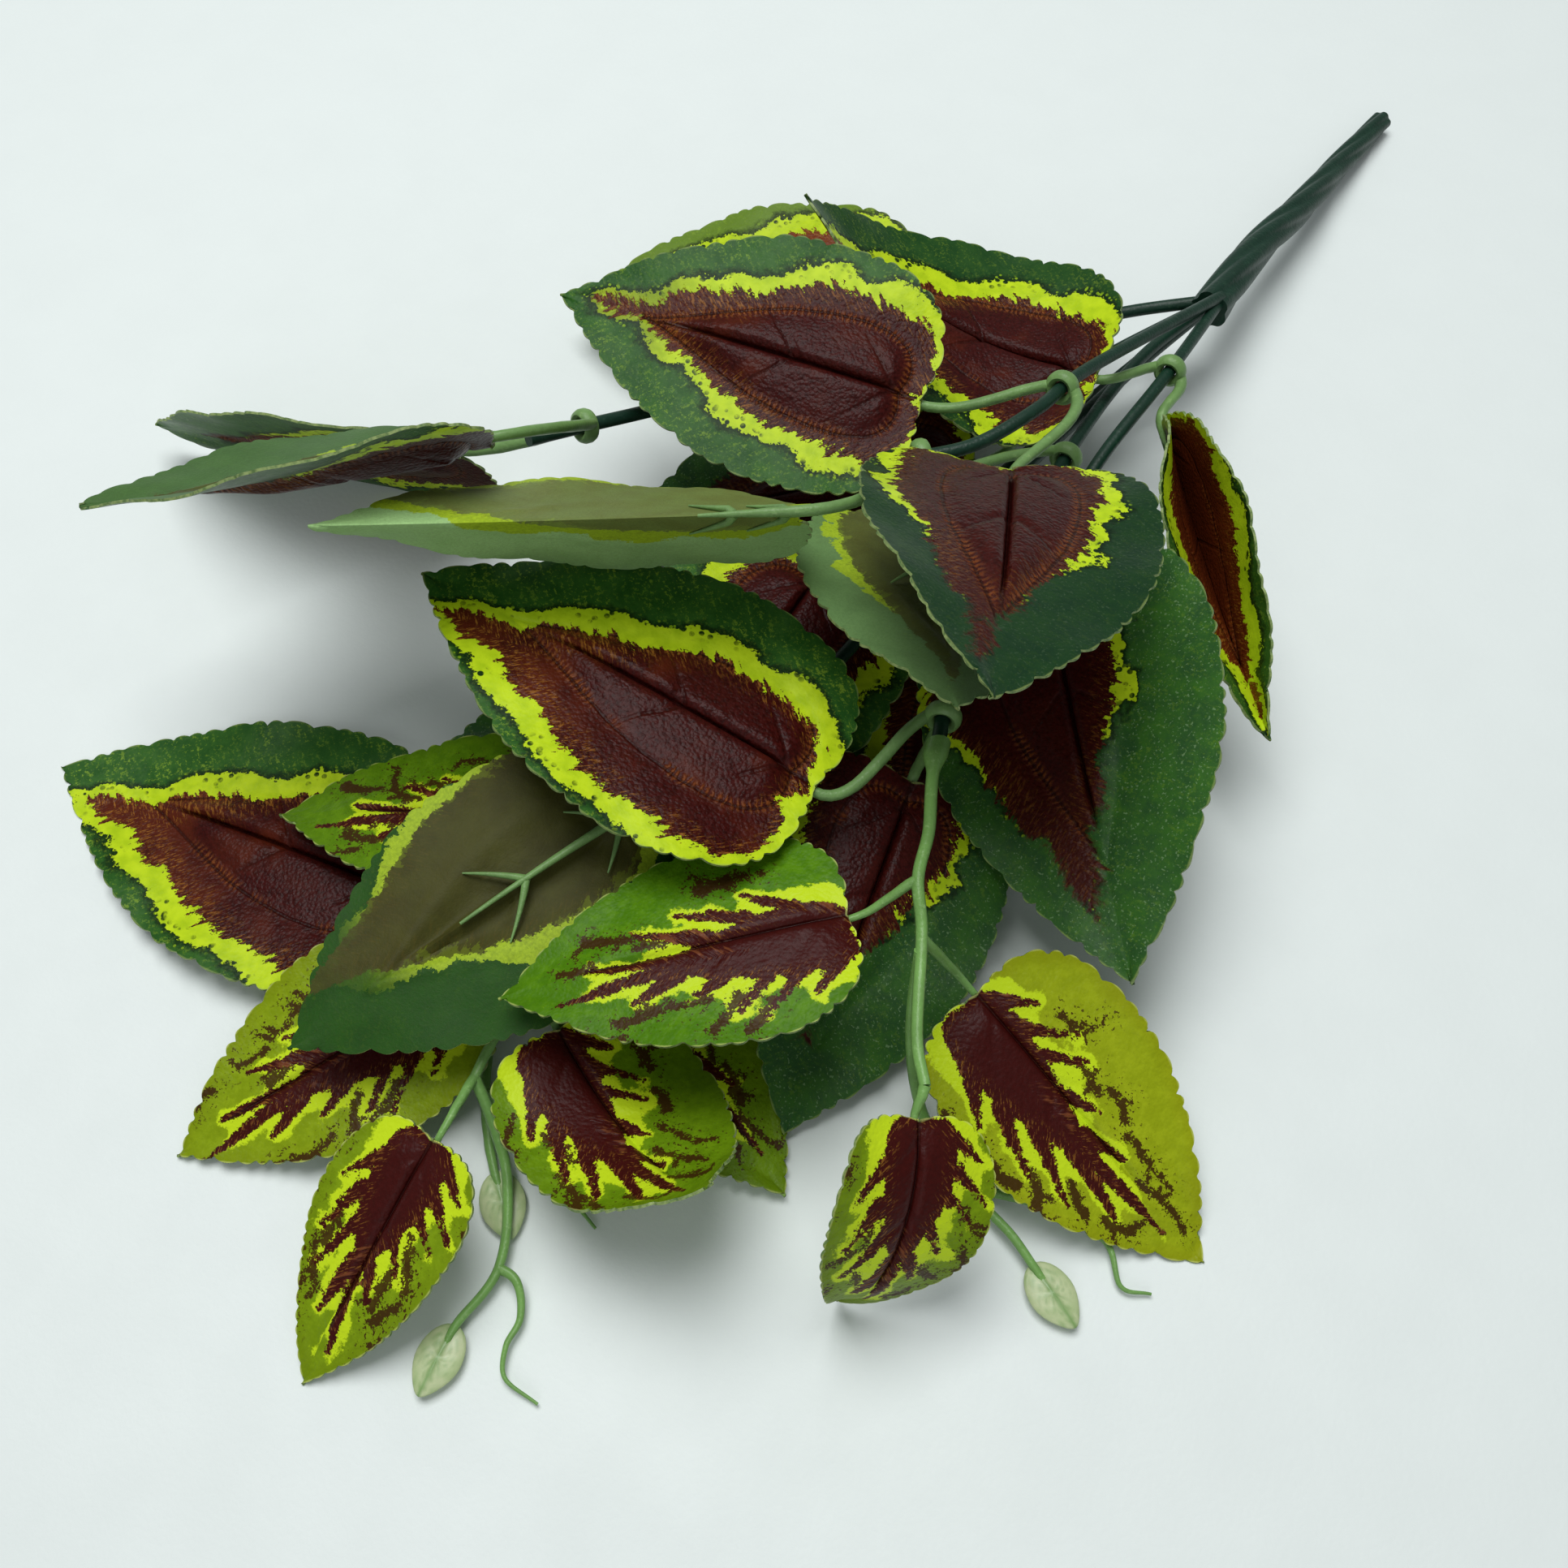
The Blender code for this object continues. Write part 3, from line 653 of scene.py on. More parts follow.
def on_blade(leaf, x, y, height):
    """World places of flat places on a blade."""
    local = blade_surface(leaf, *(np.asarray(value, float) for value in np.broadcast_arrays(x, y, height)))
    place = np.array(blade_matrix(leaf))
    return local @ place[:3, :3].T + place[:3, 3]


def outline_curve(leaf, outline, wide=1.0):
    """An outline on the leaf as a closed curve in flat millimetres; wide stretches it across."""
    s = np.linspace(0, 1, CURVE_STEPS)
    across, along = blade_outline(s, leaf.lobe, outline.taper)
    x = across * leaf.half_width * (outline.width * wide)
    y = (outline.start + (outline.end - outline.start) * along) * leaf.length
    return np.column_stack([np.concatenate([x, -x[-2:0:-1]]), np.concatenate([y, y[-2:0:-1]])])


def distance_inside(points, curve):
    """Distance from each point to a closed curve, positive inside it, and how far along it the nearest is."""
    start, end = curve, np.roll(curve, -1, axis=0)
    run = end - start
    lengths = np.maximum(np.hypot(*run.T), 1e-9)
    travelled = np.concatenate([[0], np.cumsum(lengths)[:-1]])
    best = np.full(len(points), 1e9)
    nearest = np.zeros(len(points))
    inside = np.zeros(len(points), bool)
    for a, b, vector, length, before in zip(start, end, run, lengths, travelled):
        offset = points - a
        share = np.clip(offset @ vector / length ** 2, 0, 1)
        gap = np.hypot(offset[:, 0] - share * vector[0], offset[:, 1] - share * vector[1])
        closer = gap < best
        best[closer] = gap[closer]
        nearest[closer] = before + share[closer] * length
        if a[1] != b[1]:
            crosses = (a[1] > points[:, 1]) != (b[1] > points[:, 1])
            inside ^= crosses & (points[:, 0] < a[0] + (points[:, 1] - a[1]) * vector[0] / vector[1])
    return np.where(inside, best, -best), nearest


def rise(value, low, high):
    """A smooth change from 0 at low to 1 at high."""
    share = np.clip((value - low) / (high - low), 0, 1)
    return share * share * (3 - 2 * share)


def depth_inside(points, strokes):
    """How deep each point lies in the nearest stroke: a run of points with half widths at its two ends."""
    best = np.full(len(points), -99.0)
    for run, root, tip in strokes:
        spans = len(run) - 1
        for index, (a, b) in enumerate(zip(run, run[1:])):
            start, vector = np.array(a, float), np.subtract(b, a)
            share = np.clip((points - start) @ vector / (vector @ vector), 0, 1)
            gap = np.hypot(*(points - start - share[:, None] * vector).T)
            best = np.maximum(best, root + (tip - root) * (index + share) / spans - gap)
    return best


def branching_lines(seed):
    """Dark lines with short twigs that run forward beside the heart, as strokes in millimetres."""
    draw = random.Random(seed)
    strokes = []
    for side in (-1, 1):
        for start in LINE_STARTS:
            point = np.array([side * (draw.uniform(9, 17) - 0.15 * start), start + draw.uniform(-2, 2)])
            turn = side * (0.5 - 0.014 * start)
            run = [point]
            for _ in range(draw.randint(3, 6)):
                turn += draw.uniform(-0.4, 0.4)
                run.append(run[-1] + LINE_STEP * np.array([math.sin(turn), math.cos(turn)]))
                if draw.random() < TWIG_CHANCE:
                    twig = turn + draw.choice((-1, 1)) * draw.uniform(0.7, 1.2)
                    end = run[-1] + draw.uniform(1.4, 3.4) * np.array([math.sin(twig), math.cos(twig)])
                    strokes.append(([run[-1], end], LINE_HALF_WIDTH * 0.8, LINE_HALF_WIDTH * 0.6))
            strokes.append((run, LINE_HALF_WIDTH, LINE_HALF_WIDTH * draw.uniform(0.6, 1.6)))
    return strokes


def large_print(leaf, printed):
    """How deep each place on the print lies in the band and the heart, and how far the heart sinks there."""
    share = printed[:, 1] / leaf.length
    band, _ = distance_inside(printed, outline_curve(leaf, BAND, leaf.print_wide))
    heart, _ = distance_inside(printed, outline_curve(leaf, HEART, leaf.print_wide))
    thin = heart + FADED_BAND - FADED_TIP * rise(share, 0.42, 0.66)
    return {"band": band + leaf.fade * (np.minimum(band, thin) - band),
            "heart": heart,
            "sunk": leaf.fade * rise(share, 0.5, 0.8)}


def small_print(leaf, printed):
    """How deep each place on the print lies in the fingered heart, the ring round it and the dark lines."""
    size = leaf.length / SMALL.length
    wide = TINY_HEART if leaf.size is TINY else 1
    design = printed / (size * wide, size)
    core, _ = distance_inside(printed, outline_curve(leaf, CORE, wide))
    fingers = size * depth_inside(design, [(run, FINGER_ROOT, FINGER_TIP) for run in FINGERS])
    return {"heart": np.maximum(core, fingers),
            "band": np.maximum(core + RING_ROUND_CORE, fingers + RING_ROUND_FINGERS),
            "lines": size * depth_inside(design, branching_lines(LEAVES.index(leaf)))}


def print_measures(leaf, flat):
    """Where each flat place lies in the leaf's print, in millimetres, and the leaf's fade, tone and pale."""
    middle = np.array([leaf.print_across, leaf.length / 2 + leaf.print_along])
    turn = math.radians(leaf.print_turn)
    spun = (flat - middle) @ np.array([[math.cos(turn), -math.sin(turn)], [math.sin(turn), math.cos(turn)]])
    printed = spun + np.array([0, leaf.length / 2])
    measures = {"print_across": printed[:, 0], "print_along": printed[:, 1]}
    for name in ("fade", "tone", "pale"):
        measures[name] = np.full(len(flat), float(getattr(leaf, name)))
    shapes = large_print if leaf.size is LARGE else small_print
    return measures | shapes(leaf, printed)


def relief(leaf, x, y, seam, settings):
    """Height of the pressed pillows, veins and pressed line over the flat blade, in millimetres."""
    small = leaf.size is not LARGE
    away = np.abs(x)
    size = leaf.length / leaf.size.length
    pillow = (settings.small_pillow if small else settings.pillow) / MM
    midrib = np.exp(-(away / PRESSED_WIDTH) ** 2) * (1 - rise(y / leaf.length, 0.6, 0.8))
    swell = rise(seam, -1, 6) if small else rise(seam, -0.5, 4.5)
    veins = np.zeros_like(x)
    for root, reach in VEINS:
        line = y - (root * leaf.length + away * (0.85 + 0.022 * away))
        runs_out = np.exp(-(away / (reach * size)) ** 4)
        veins = np.maximum(veins, np.exp(-(line / PRESSED_WIDTH) ** 2) * runs_out)
    puff = 0.3 + 0.7 * np.exp(-(away / PUFF_REACH) ** 2)
    open_share = 1 - rise(abs(leaf.fold), 15, 60)
    height = open_share * pillow * swell * puff * (1 - 0.8 * midrib) * (1 - 0.25 * veins)
    if not small:
        height -= settings.groove / MM * np.exp(-(seam / 0.8) ** 2)
    return height


def scalloped_grid(leaf):
    """A grid over the flat blade with scallops cut into its edges.

    Returns its mesh, and for each vertex its share of the way from the midrib to the edge (negative on the
    left), how far along the edge it lies and its flat place, in millimetres.
    """
    s = np.linspace(0, 1, EDGE_STEPS)
    edge = np.column_stack(blade_outline(s, leaf.lobe, EDGE.taper)) * (leaf.half_width, leaf.length)
    arc = np.concatenate([[0], np.cumsum(np.hypot(*np.diff(edge, axis=0).T))])
    tangent = np.gradient(edge, s, axis=0)
    tangent /= np.hypot(*tangent.T)[:, None]

    cloth = bmesh.new()
    columns = COLUMNS_LARGE if leaf.size is LARGE else COLUMNS_SMALL
    scallops = round(arc[-1] / leaf.size.pitch)
    bmesh.ops.create_grid(cloth, x_segments=columns, y_segments=scallops * ROWS_PER_SCALLOP, size=1)
    corners = np.array([v.co[:2] for v in cloth.verts])
    u = corners[:, 0] - COLUMN_GATHER * np.sin(2 * np.pi * corners[:, 0])
    walked = (corners[:, 1] + 1) / 2 * arc[-1]
    at = np.interp(walked, arc, s)
    across, along = blade_outline(at, leaf.lobe, EDGE.taper)
    x = u * across * leaf.half_width
    y = leaf.length * (at * (1 - u * u) + u * u * along)

    seed = LEAVES.index(leaf)
    side = np.sign(u)
    drift = 0.25 * np.sin(walked * 0.37 + seed + side) + 0.2 * np.sin(walked * 0.11 + 2 * seed)
    bite = 1 - np.abs(np.sin(np.pi * (walked / arc[-1] * scallops + drift))) ** 0.7
    bite *= leaf.size.depth * (0.8 + 0.3 * np.sin(walked * 0.53 + 3 * seed + side)) * np.abs(u) ** 12
    bite *= rise(walked, 0.5, 4) * (1 - 0.5 * rise(walked, arc[-1] - 5, arc[-1]))
    x -= side * bite * np.interp(at, s, tangent[:, 1])
    y += bite * np.interp(at, s, tangent[:, 0])
    return cloth, u, walked, np.column_stack([x, y])


def make_object(name, shape, paints):
    """Turns a shape into a linked object with its materials."""
    mesh = bpy.data.meshes.new(name)
    shape.to_mesh(mesh)
    shape.free()
    for paint in paints:
        mesh.materials.append(paint)
    made = bpy.data.objects.new(name, mesh)
    bpy.context.scene.collection.objects.link(made)
    return made


def shade(mesh, sharp):
    """Shades the mesh smooth but for edges steeper than sharp degrees."""
    mesh.shade_smooth()
    mesh.set_sharp_from_angle(angle=math.radians(sharp))


def settle(thing):
    """Applies the modifiers and shades the mesh smooth with crisp rims."""
    evaluated = thing.evaluated_get(bpy.context.evaluated_depsgraph_get())
    mesh = bpy.data.meshes.new_from_object(evaluated)
    thing.modifiers.clear()
    thing.data = mesh
    shade(mesh, CLOTH_SHARP)


def make_leaf(leaf, paints, settings):
    """The bent and embossed blade, thickened into cloth, with the measures that its materials read."""
    cloth, u, walked, flat = scalloped_grid(leaf)
    x, y = flat.T
    margin, _ = distance_inside(flat, outline_curve(leaf, EDGE))
    seam, stitch = distance_inside(flat, outline_curve(leaf, SEAM if leaf.size is LARGE else SMALL_SEAM))
    wave = np.sin(walked * 0.22 + LEAVES.index(leaf) * 1.7 + np.sign(u))
    height = relief(leaf, x, y, seam, settings)
    height += settings.ripple / MM * wave * rise(np.abs(u), 0.5, 1)
    places = on_blade(leaf, x, y, height)
    half = settings.thickness / 2
    places[:, 2] = np.clip(places[:, 2], half, CAD_BOX[1][2] - half)

    measures = {"margin": np.maximum(margin, 0), "seam": seam, "stitch": stitch, "across": x, "along": y,
                **print_measures(leaf, flat)}
    layers = {name: cloth.verts.layers.float.new(name) for name in measures}
    for index, vertex in enumerate(cloth.verts):
        vertex.co = places[index]
        for name, layer in layers.items():
            vertex[layer] = float(measures[name][index])
    bmesh.ops.remove_doubles(cloth, verts=cloth.verts, dist=2e-6)
    blade = make_object(leaf.name + "_cloth", cloth, paints)
    shell = blade.modifiers.new("thickness", "SOLIDIFY")
    shell.thickness = settings.thickness
    shell.offset = 0
    shell.material_offset = 1
    shell.material_offset_rim = 2
    settle(blade)
    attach(blade, "root")
    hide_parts(leaf.name)


def frames_along(route):
    """Two directions square to the route at each of its points, turning as little as they can."""
    out = []
    side = None
    for index in range(len(route)):
        before, after = route[max(index - 1, 0)], route[min(index + 1, len(route) - 1)]
        direction = (after - before).normalized()
        if side is None:
            side = direction.orthogonal().normalized()
        side = (side - direction * side.dot(direction)).normalized()
        out.append((side, direction.cross(side)))
    return out


def rod(route, radius, sides, section=None):
    """A closed rod: a grid rolled round a route; radius is by share of it, section by turn and share."""
    grid = bmesh.new()
    rings = len(route) - 1
    bmesh.ops.create_grid(grid, x_segments=sides, y_segments=rings, size=1)
    frames = frames_along(route)
    for vertex in grid.verts:
        share = (vertex.co.y + 1) / 2
        turn = math.pi * (vertex.co.x + 1)
        index = round(share * rings)
        side, up = frames[index]
        size = radius(share) * MM * (section(turn, share) if section else 1)
        vertex.co = route[index] + (side * math.cos(turn) + up * math.sin(turn)) * size
    bmesh.ops.remove_doubles(grid, verts=grid.verts, dist=1e-6)
    bmesh.ops.holes_fill(grid, edges=grid.edges)
    bmesh.ops.recalc_face_normals(grid, faces=grid.faces)
    return grid


def gather(node, parts, paints):
    """Makes one piece from several closed shapes."""
    whole = bmesh.new()
    for part in parts:
        loose = bpy.data.meshes.new("loose")
        part.to_mesh(loose)
        part.free()
        whole.from_mesh(loose)
        bpy.data.meshes.remove(loose)
    for vertex in whole.verts:
        vertex.co.z = max(vertex.co.z, 0)
    made = make_object(node + "_moulding", whole, paints)
    shade(made.data, MOULDING_SHARP)
    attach(made, "root")
    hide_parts(node)


def reach_leaf(start, leave, leaf, radius):
    """A route from the start, leaving it in a direction, to the blade's base and on under its midrib."""
    shares = np.linspace(0, leaf.rib, RIB_STEPS)
    taper = 1 - 0.8 * (shares / leaf.rib) ** 2
    rib = [Vector(p) for p in on_blade(leaf, 0, shares * leaf.length, -(RIB_DROP + radius * taper))]
    for point in rib:
        point.z = max(point.z, radius * MM)
    end = rib[0]
    arrive = (rib[1] - rib[0]).normalized()
    reach = (end - start).length
    out = []
    for step in range(REACH_STEPS):
        t = step / REACH_STEPS
        h00, h10 = 2 * t ** 3 - 3 * t * t + 1, t ** 3 - 2 * t * t + t
        h01, h11 = 3 * t * t - 2 * t ** 3, t ** 3 - t * t
        out.append(start * h00 + leave * (reach * h10) + end * h01 + arrive * (reach * h11))
    return out + rib


def side_ribs(leaf, radius):
    """Short moulded ribs that fork forward from the rib under the blade."""
    ribs = []
    for place, length in LARGE_FORKS if leaf.size is LARGE else SMALL_FORKS:
        start = place * leaf.rib * leaf.length
        for side in (-1, 1):
            steps = np.linspace(0, 1, FORK_STEPS)
            x = side * steps * length * 0.72
            y = start + steps * length * (0.62 + 0.15 * steps)
            route = [Vector(p) for p in on_blade(leaf, x, y, -(0.3 + 0.5 * radius * (1 - 0.6 * steps)))]
            ribs.append(rod(route, lambda share: radius * (0.75 - 0.6 * share), 8))
    return ribs


def petiole_radius(share):
    """Thins slowly up to the blade, then quickly as the rib runs out under it."""
    joint = REACH_STEPS / (REACH_STEPS + RIB_STEPS)
    return PETIOLE_RADIUS * (1.12 - 0.12 * min(share / joint, 1) - 0.7 * max(share - joint, 0) / (1 - joint))


def petiole_section(turn, share):
    """Slightly flat, with one edge that wanders round it."""
    return 1 + 0.07 * math.cos(2 * turn) + 0.04 * math.sin(3 * turn + 40 * share)


def collar_ring(centre, direction):
    """A round ring, wider along the stem than it is thick."""
    ring = bmesh.new()
    bmesh.ops.create_circle(ring, segments=10, radius=COLLAR_WIRE * MM)
    bmesh.ops.scale(ring, vec=(1, COLLAR_STRETCH, 1), verts=ring.verts)
    bmesh.ops.rotate(ring, matrix=Matrix.Rotation(math.radians(90), 3, "X"), verts=ring.verts)
    bmesh.ops.translate(ring, vec=((COLLAR_RADIUS - COLLAR_INSET) * MM, 0, 0), verts=ring.verts)
    bmesh.ops.spin(ring, geom=ring.verts[:] + ring.edges[:], cent=(0, 0, 0), axis=(0, 0, 1),
                   angle=2 * math.pi, steps=28, use_merge=True)
    bmesh.ops.recalc_face_normals(ring, faces=ring.faces)
    place = Matrix.Translation(centre) @ direction.to_track_quat("Z", "Y").to_matrix().to_4x4()
    bmesh.ops.transform(ring, matrix=place, verts=ring.verts)
    return ring


def make_petioles(petioles, paints):
    """A ring round the stem, and for each leaf a petiole that runs on as a tapering rib with side ribs."""
    route = smooth([to_part(p) for p in STEMS[petioles.stem]], COLLAR_ROUTE_STEPS)
    centre, direction = place_along(route, petioles.at)
    parts = [collar_ring(centre, direction)]
    for name in petioles.leaves:
        leaf = LEAF[name]
        away = to_part(leaf.base) - centre
        away = (away - direction * away.dot(direction)).normalized()
        start = centre + away * COLLAR_RADIUS * MM
        leave = (away + direction).normalized()
        parts.append(rod(reach_leaf(start, leave, leaf, PETIOLE_RADIUS), petiole_radius, 12, petiole_section))
        parts += side_ribs(leaf, PETIOLE_RADIUS)
    gather(petioles.name, parts, paints)


def make_bud(base, direction):
    """A small closed leaf at a twig's end, with a rib and side veins pressed into it."""
    bud = bmesh.new()
    bmesh.ops.create_uvsphere(bud, u_segments=32, v_segments=20, radius=1)
    vein = bud.verts.layers.float.new("vein")
    for vertex in bud.verts:
        x, y, z = vertex.co
        comb = abs(((y - abs(x) * 0.9) * BUD_VEINS % 1) - 0.5) * 2
        strength = max(math.exp(-(x / 0.12) ** 2), rise(comb, 0.6, 1) * (1 - abs(x)))
        vertex[vein] = float(strength)
        forward = max(y, 0)
        vertex.co = (x * BUD_HALF_WIDTH * MM * (1 - 0.35 * forward ** 2),
                     y * BUD_HALF_LENGTH * MM * (1 + 0.12 * forward),
                     z * BUD_HALF_DEPTH * MM * (1 + 0.35 * strength))
    level = Vector((direction.x, direction.y, 0)).normalized()
    turn = level.to_track_quat("Y", "Z").to_matrix().to_4x4()
    bmesh.ops.transform(bud, matrix=Matrix.Translation(base) @ turn, verts=bud.verts)
    for face in bud.faces:
        face.material_index = 1
    return bud


def spray_axis_radius(share):
    """A sleeve at the foot that is pushed on the stem, then a slow taper."""
    return SPRAY_RADIUS * (1.1 - 0.2 * share) + SLEEVE_EXTRA * (1 - rise(share, 0.05, 0.14))


def spray_section(turn, share):
    """Slightly flat, with one side that wanders round it."""
    return 1 + 0.08 * math.cos(2 * turn) + 0.05 * math.sin(turn + 30 * share)


def make_spray(spray, paints):
    """The axis with a sleeve at its foot, twigs to its leaves, and the bud leaf's twig and tendril."""
    axis = smooth([to_part(p) for p in spray.axis], ROUTE_STEPS)
    parts = [rod(axis, spray_axis_radius, 12, spray_section)]
    for name, node in spray.leaves.items():
        leaf = LEAF[name]
        start = to_part(node)
        leave = (to_part(leaf.base) - start).normalized()
        parts.append(rod(reach_leaf(start, leave, leaf, SPRAY_RIB_RADIUS),
                         lambda share: SPRAY_RIB_RADIUS * (1.35 - 0.9 * share), 10, spray_section))
        parts += side_ribs(leaf, SPRAY_RIB_RADIUS)
    twig = smooth([to_part(p) for p in spray.bud], ROUTE_STEPS)
    parts.append(rod(twig, lambda share: SPRAY_RADIUS * (1 - 0.35 * share), 10, spray_section))
    parts.append(make_bud(twig[-1], (twig[-1] - twig[-2]).normalized()))
    curl = smooth([to_part(p) for p in spray.tendril], ROUTE_STEPS)
    parts.append(rod(curl, lambda share: SPRAY_RADIUS * (0.85 - 0.6 * share), 10, spray_section))
    gather(spray.name, parts, paints)


def stem_radius(share):
    """Full along the stem and rounded off at its end."""
    return STEM_RADIUS * min(1, 14 * (1.02 - share) ** 0.5)


def stem_section(turn, share):
    """Slightly flat, with the mould's seam as a narrow notch."""
    return 1 + 0.03 * math.cos(2 * turn) - 0.06 * (math.cos(turn) > 0.96)


def handle_radius(share):
    """Thinner towards the end."""
    return CROWN_RADIUS + (HANDLE_END_RADIUS - CROWN_RADIUS) * share


def handle_section(turn, share):
    """The wound stems: round lobes with narrow valleys that turn as the handle runs on."""
    wave = math.cos(HANDLE_LOBES * turn - 2 * math.pi * HANDLE_TURNS * share)
    return 1 - HANDLE_VALLEY + HANDLE_VALLEY * (1 - ((1 - wave) / 2) ** 2)


def make_stems(paint):
    """Seven wired stems and the lobed handle that they are twisted into."""
    parts = []
    for points in STEMS.values():
        route = smooth([to_part(p) for p in points], ROUTE_STEPS)
        parts.append(rod(route, stem_radius, 16, stem_section))
    handle = smooth([to_part(p) for p in HANDLE_ROUTE], HANDLE_STEPS)
    parts.append(rod(handle, handle_radius, 70, handle_section))
    gather("stems", parts, [paint])


class PrintPlace:
    """Where a point lies on the print, as shader values in millimetres."""

    def __init__(self, paint):
        self.across = paint.measure("print_across")
        self.along = paint.measure("print_along")
        self.side = (self.across > 0.0) * 37.0      # far enough to give each half its own noise
        self.flat = paint.vector(self.across, self.along, self.side)
        self.rung = self.along - abs(self.across) * 0.9
        self.fibres = paint.vector(self.rung, abs(self.across) * 0.35, self.side)


def margin_green(paint, colours, place, spot, band):
    """The dark margin: flecked, nearly black along the band, with bright beads that spill over from it."""
    fade, tone = paint.measure("fade"), paint.measure("tone")
    patchy = paint.step(paint.grain(place, 8.0, 2.0), -0.12, 0.12)
    scratches = paint.grain(place, 0.7, 4.0, 0.8) + paint.grain(spot.fibres, 1.2, 2.0) * 0.4
    hatch = paint.step(scratches, 0.05, 0.11)
    specks = paint.step(paint.grain(place, 0.5, 1.0), 0.13, 0.2) * fade
    deep = paint.mix(fade, DEEP_GREEN, DULL_GREEN)
    green = paint.mix(paint.step(paint.grain(place, 5.0, 4.0, 0.7), -0.2, 0.2), colours.dark_green, deep)
    green = paint.mix(hatch * (0.4 + 0.6 * patchy) * (1 - fade * 0.7) * 0.75, green, FLECK_GREEN)
    green = paint.mix(specks * 0.6, green, DUSTY_GREEN)
    green = paint.mix(paint.step(tone, 0.9, 1.0) * 0.6, green, YELLOWED_GREEN)
    green = paint.mix(tone * -0.75, green, TEAL)
    outside = paint.step(band * -1.0, 0.2, 2.4)
    green = paint.mix((1 - outside) * 0.85, green, BLACK_GREEN)
    beads = (1 - paint.step(paint.cells(spot.flat, 1.2), 0.24, 0.34)) * paint.step(band, -2.4, -0.6)
    beads = beads * paint.step(paint.grain(place, 9.0, 1.0), -0.04, 0.06)
    return paint.mix(beads * 0.85, green, BEAD_YELLOW)


def bright_band(paint, colours, place, spot, band):
    """The bright band, with a few dark dots along its outer edge."""
    bright = paint.mix(paint.step(paint.grain(place, 3.0, 3.0), -0.2, 0.3), colours.band, DULL_BAND)
    dots = (1 - paint.step(paint.cells(spot.flat, 1.6), 0.32, 0.42)) * (1 - paint.step(band, 0.6, 3.0))
    dots = dots * paint.step(paint.grain(spot.flat, 12.0, 1.0), -0.02, 0.08)
    return paint.mix(dots, bright, DOT_GREEN)


def heart_maroon(paint, colours, place, spot, heart):
    """The maroon heart: leathery, browner towards the tip and combed with ochre along its rim."""
    fade, sunk, tone = (paint.measure(name) for name in ("fade", "sunk", "tone"))
    leather = paint.grain(place, 0.8, 3.0, 0.7)
    maroon = paint.mix(paint.step(leather, -0.2, 0.25), colours.maroon, BLACK_MAROON)
    tipward = paint.step(spot.along, 22.0, 66.0)
    brown = paint.step(paint.grain(place, 9.0, 2.0) + tipward * 0.3, 0.0, 0.4)
    maroon = paint.mix(brown * (0.4 - fade * 0.3), maroon, RUST)
    maroon = paint.mix(tone * 0.6, maroon, TAN)
    rim = 1 - paint.step(heart - tipward * 4.0, 0.0, 5.0)
    ochre = paint.step(paint.grain(spot.fibres, 0.55, 4.0, 0.75), 0.02, 0.1) * rim
    maroon = paint.mix(ochre * (0.75 - fade * 0.4), maroon, OCHRE)
    return paint.mix(sunk * 0.5, maroon, SUNK_MAROON)


def print_large(paint, colours, place):
    """A large leaf's printed colour, how far a point is in the band and in the heart, and the ragged noise.

    What multiplies a noise is how far it moves an edge, in millimetres.
    """
    spot = PrintPlace(paint)
    fade, sunk = paint.measure("fade"), paint.measure("sunk")
    slow = paint.grain(spot.flat, 11.0, 1.0)
    ragged = paint.grain(place, 2.4, 5.0, 0.7)
    fibre = paint.grain(spot.fibres, 1.7, 4.0, 0.65)
    fine = paint.grain(place, 0.5, 2.0, 0.6)
    broken = paint.grain(spot.flat, 4.5, 2.0)

    band = paint.measure("band") + slow * 9.0 + ragged * 5.0 + fine * 1.6 + fade * broken * 9.0
    veins = abs(paint.maths("PINGPONG", spot.rung + slow * 6.0, VEIN_SPACING))
    chance = paint.grain(paint.vector(spot.rung * 0.045, spot.side, 3.0), 0.5, 0.0)
    streak = (1 - paint.step(veins, 0.2, 1.3)) * paint.step(chance, -0.02, 0.12)
    heart = paint.measure("heart") + slow * 7.0 + ragged * 5.0 + fibre * 7.0 + fine * 2.4 + streak * 4.0

    in_band = paint.step(band, -0.12, 0.12) * (1 - paint.step(sunk, 0.1, 0.4))
    soft = sunk * 1.2 + 0.12
    in_heart = paint.step(heart, soft * -1.0, soft)
    colour = paint.mix(in_band, margin_green(paint, colours, place, spot, band),
                       bright_band(paint, colours, place, spot, band))
    over_band = paint.step(band + fade * 9.0, -3.0, -1.5)
    colour = paint.mix(in_heart * over_band, colour, heart_maroon(paint, colours, place, spot, heart))
    return colour, in_band, in_heart, ragged


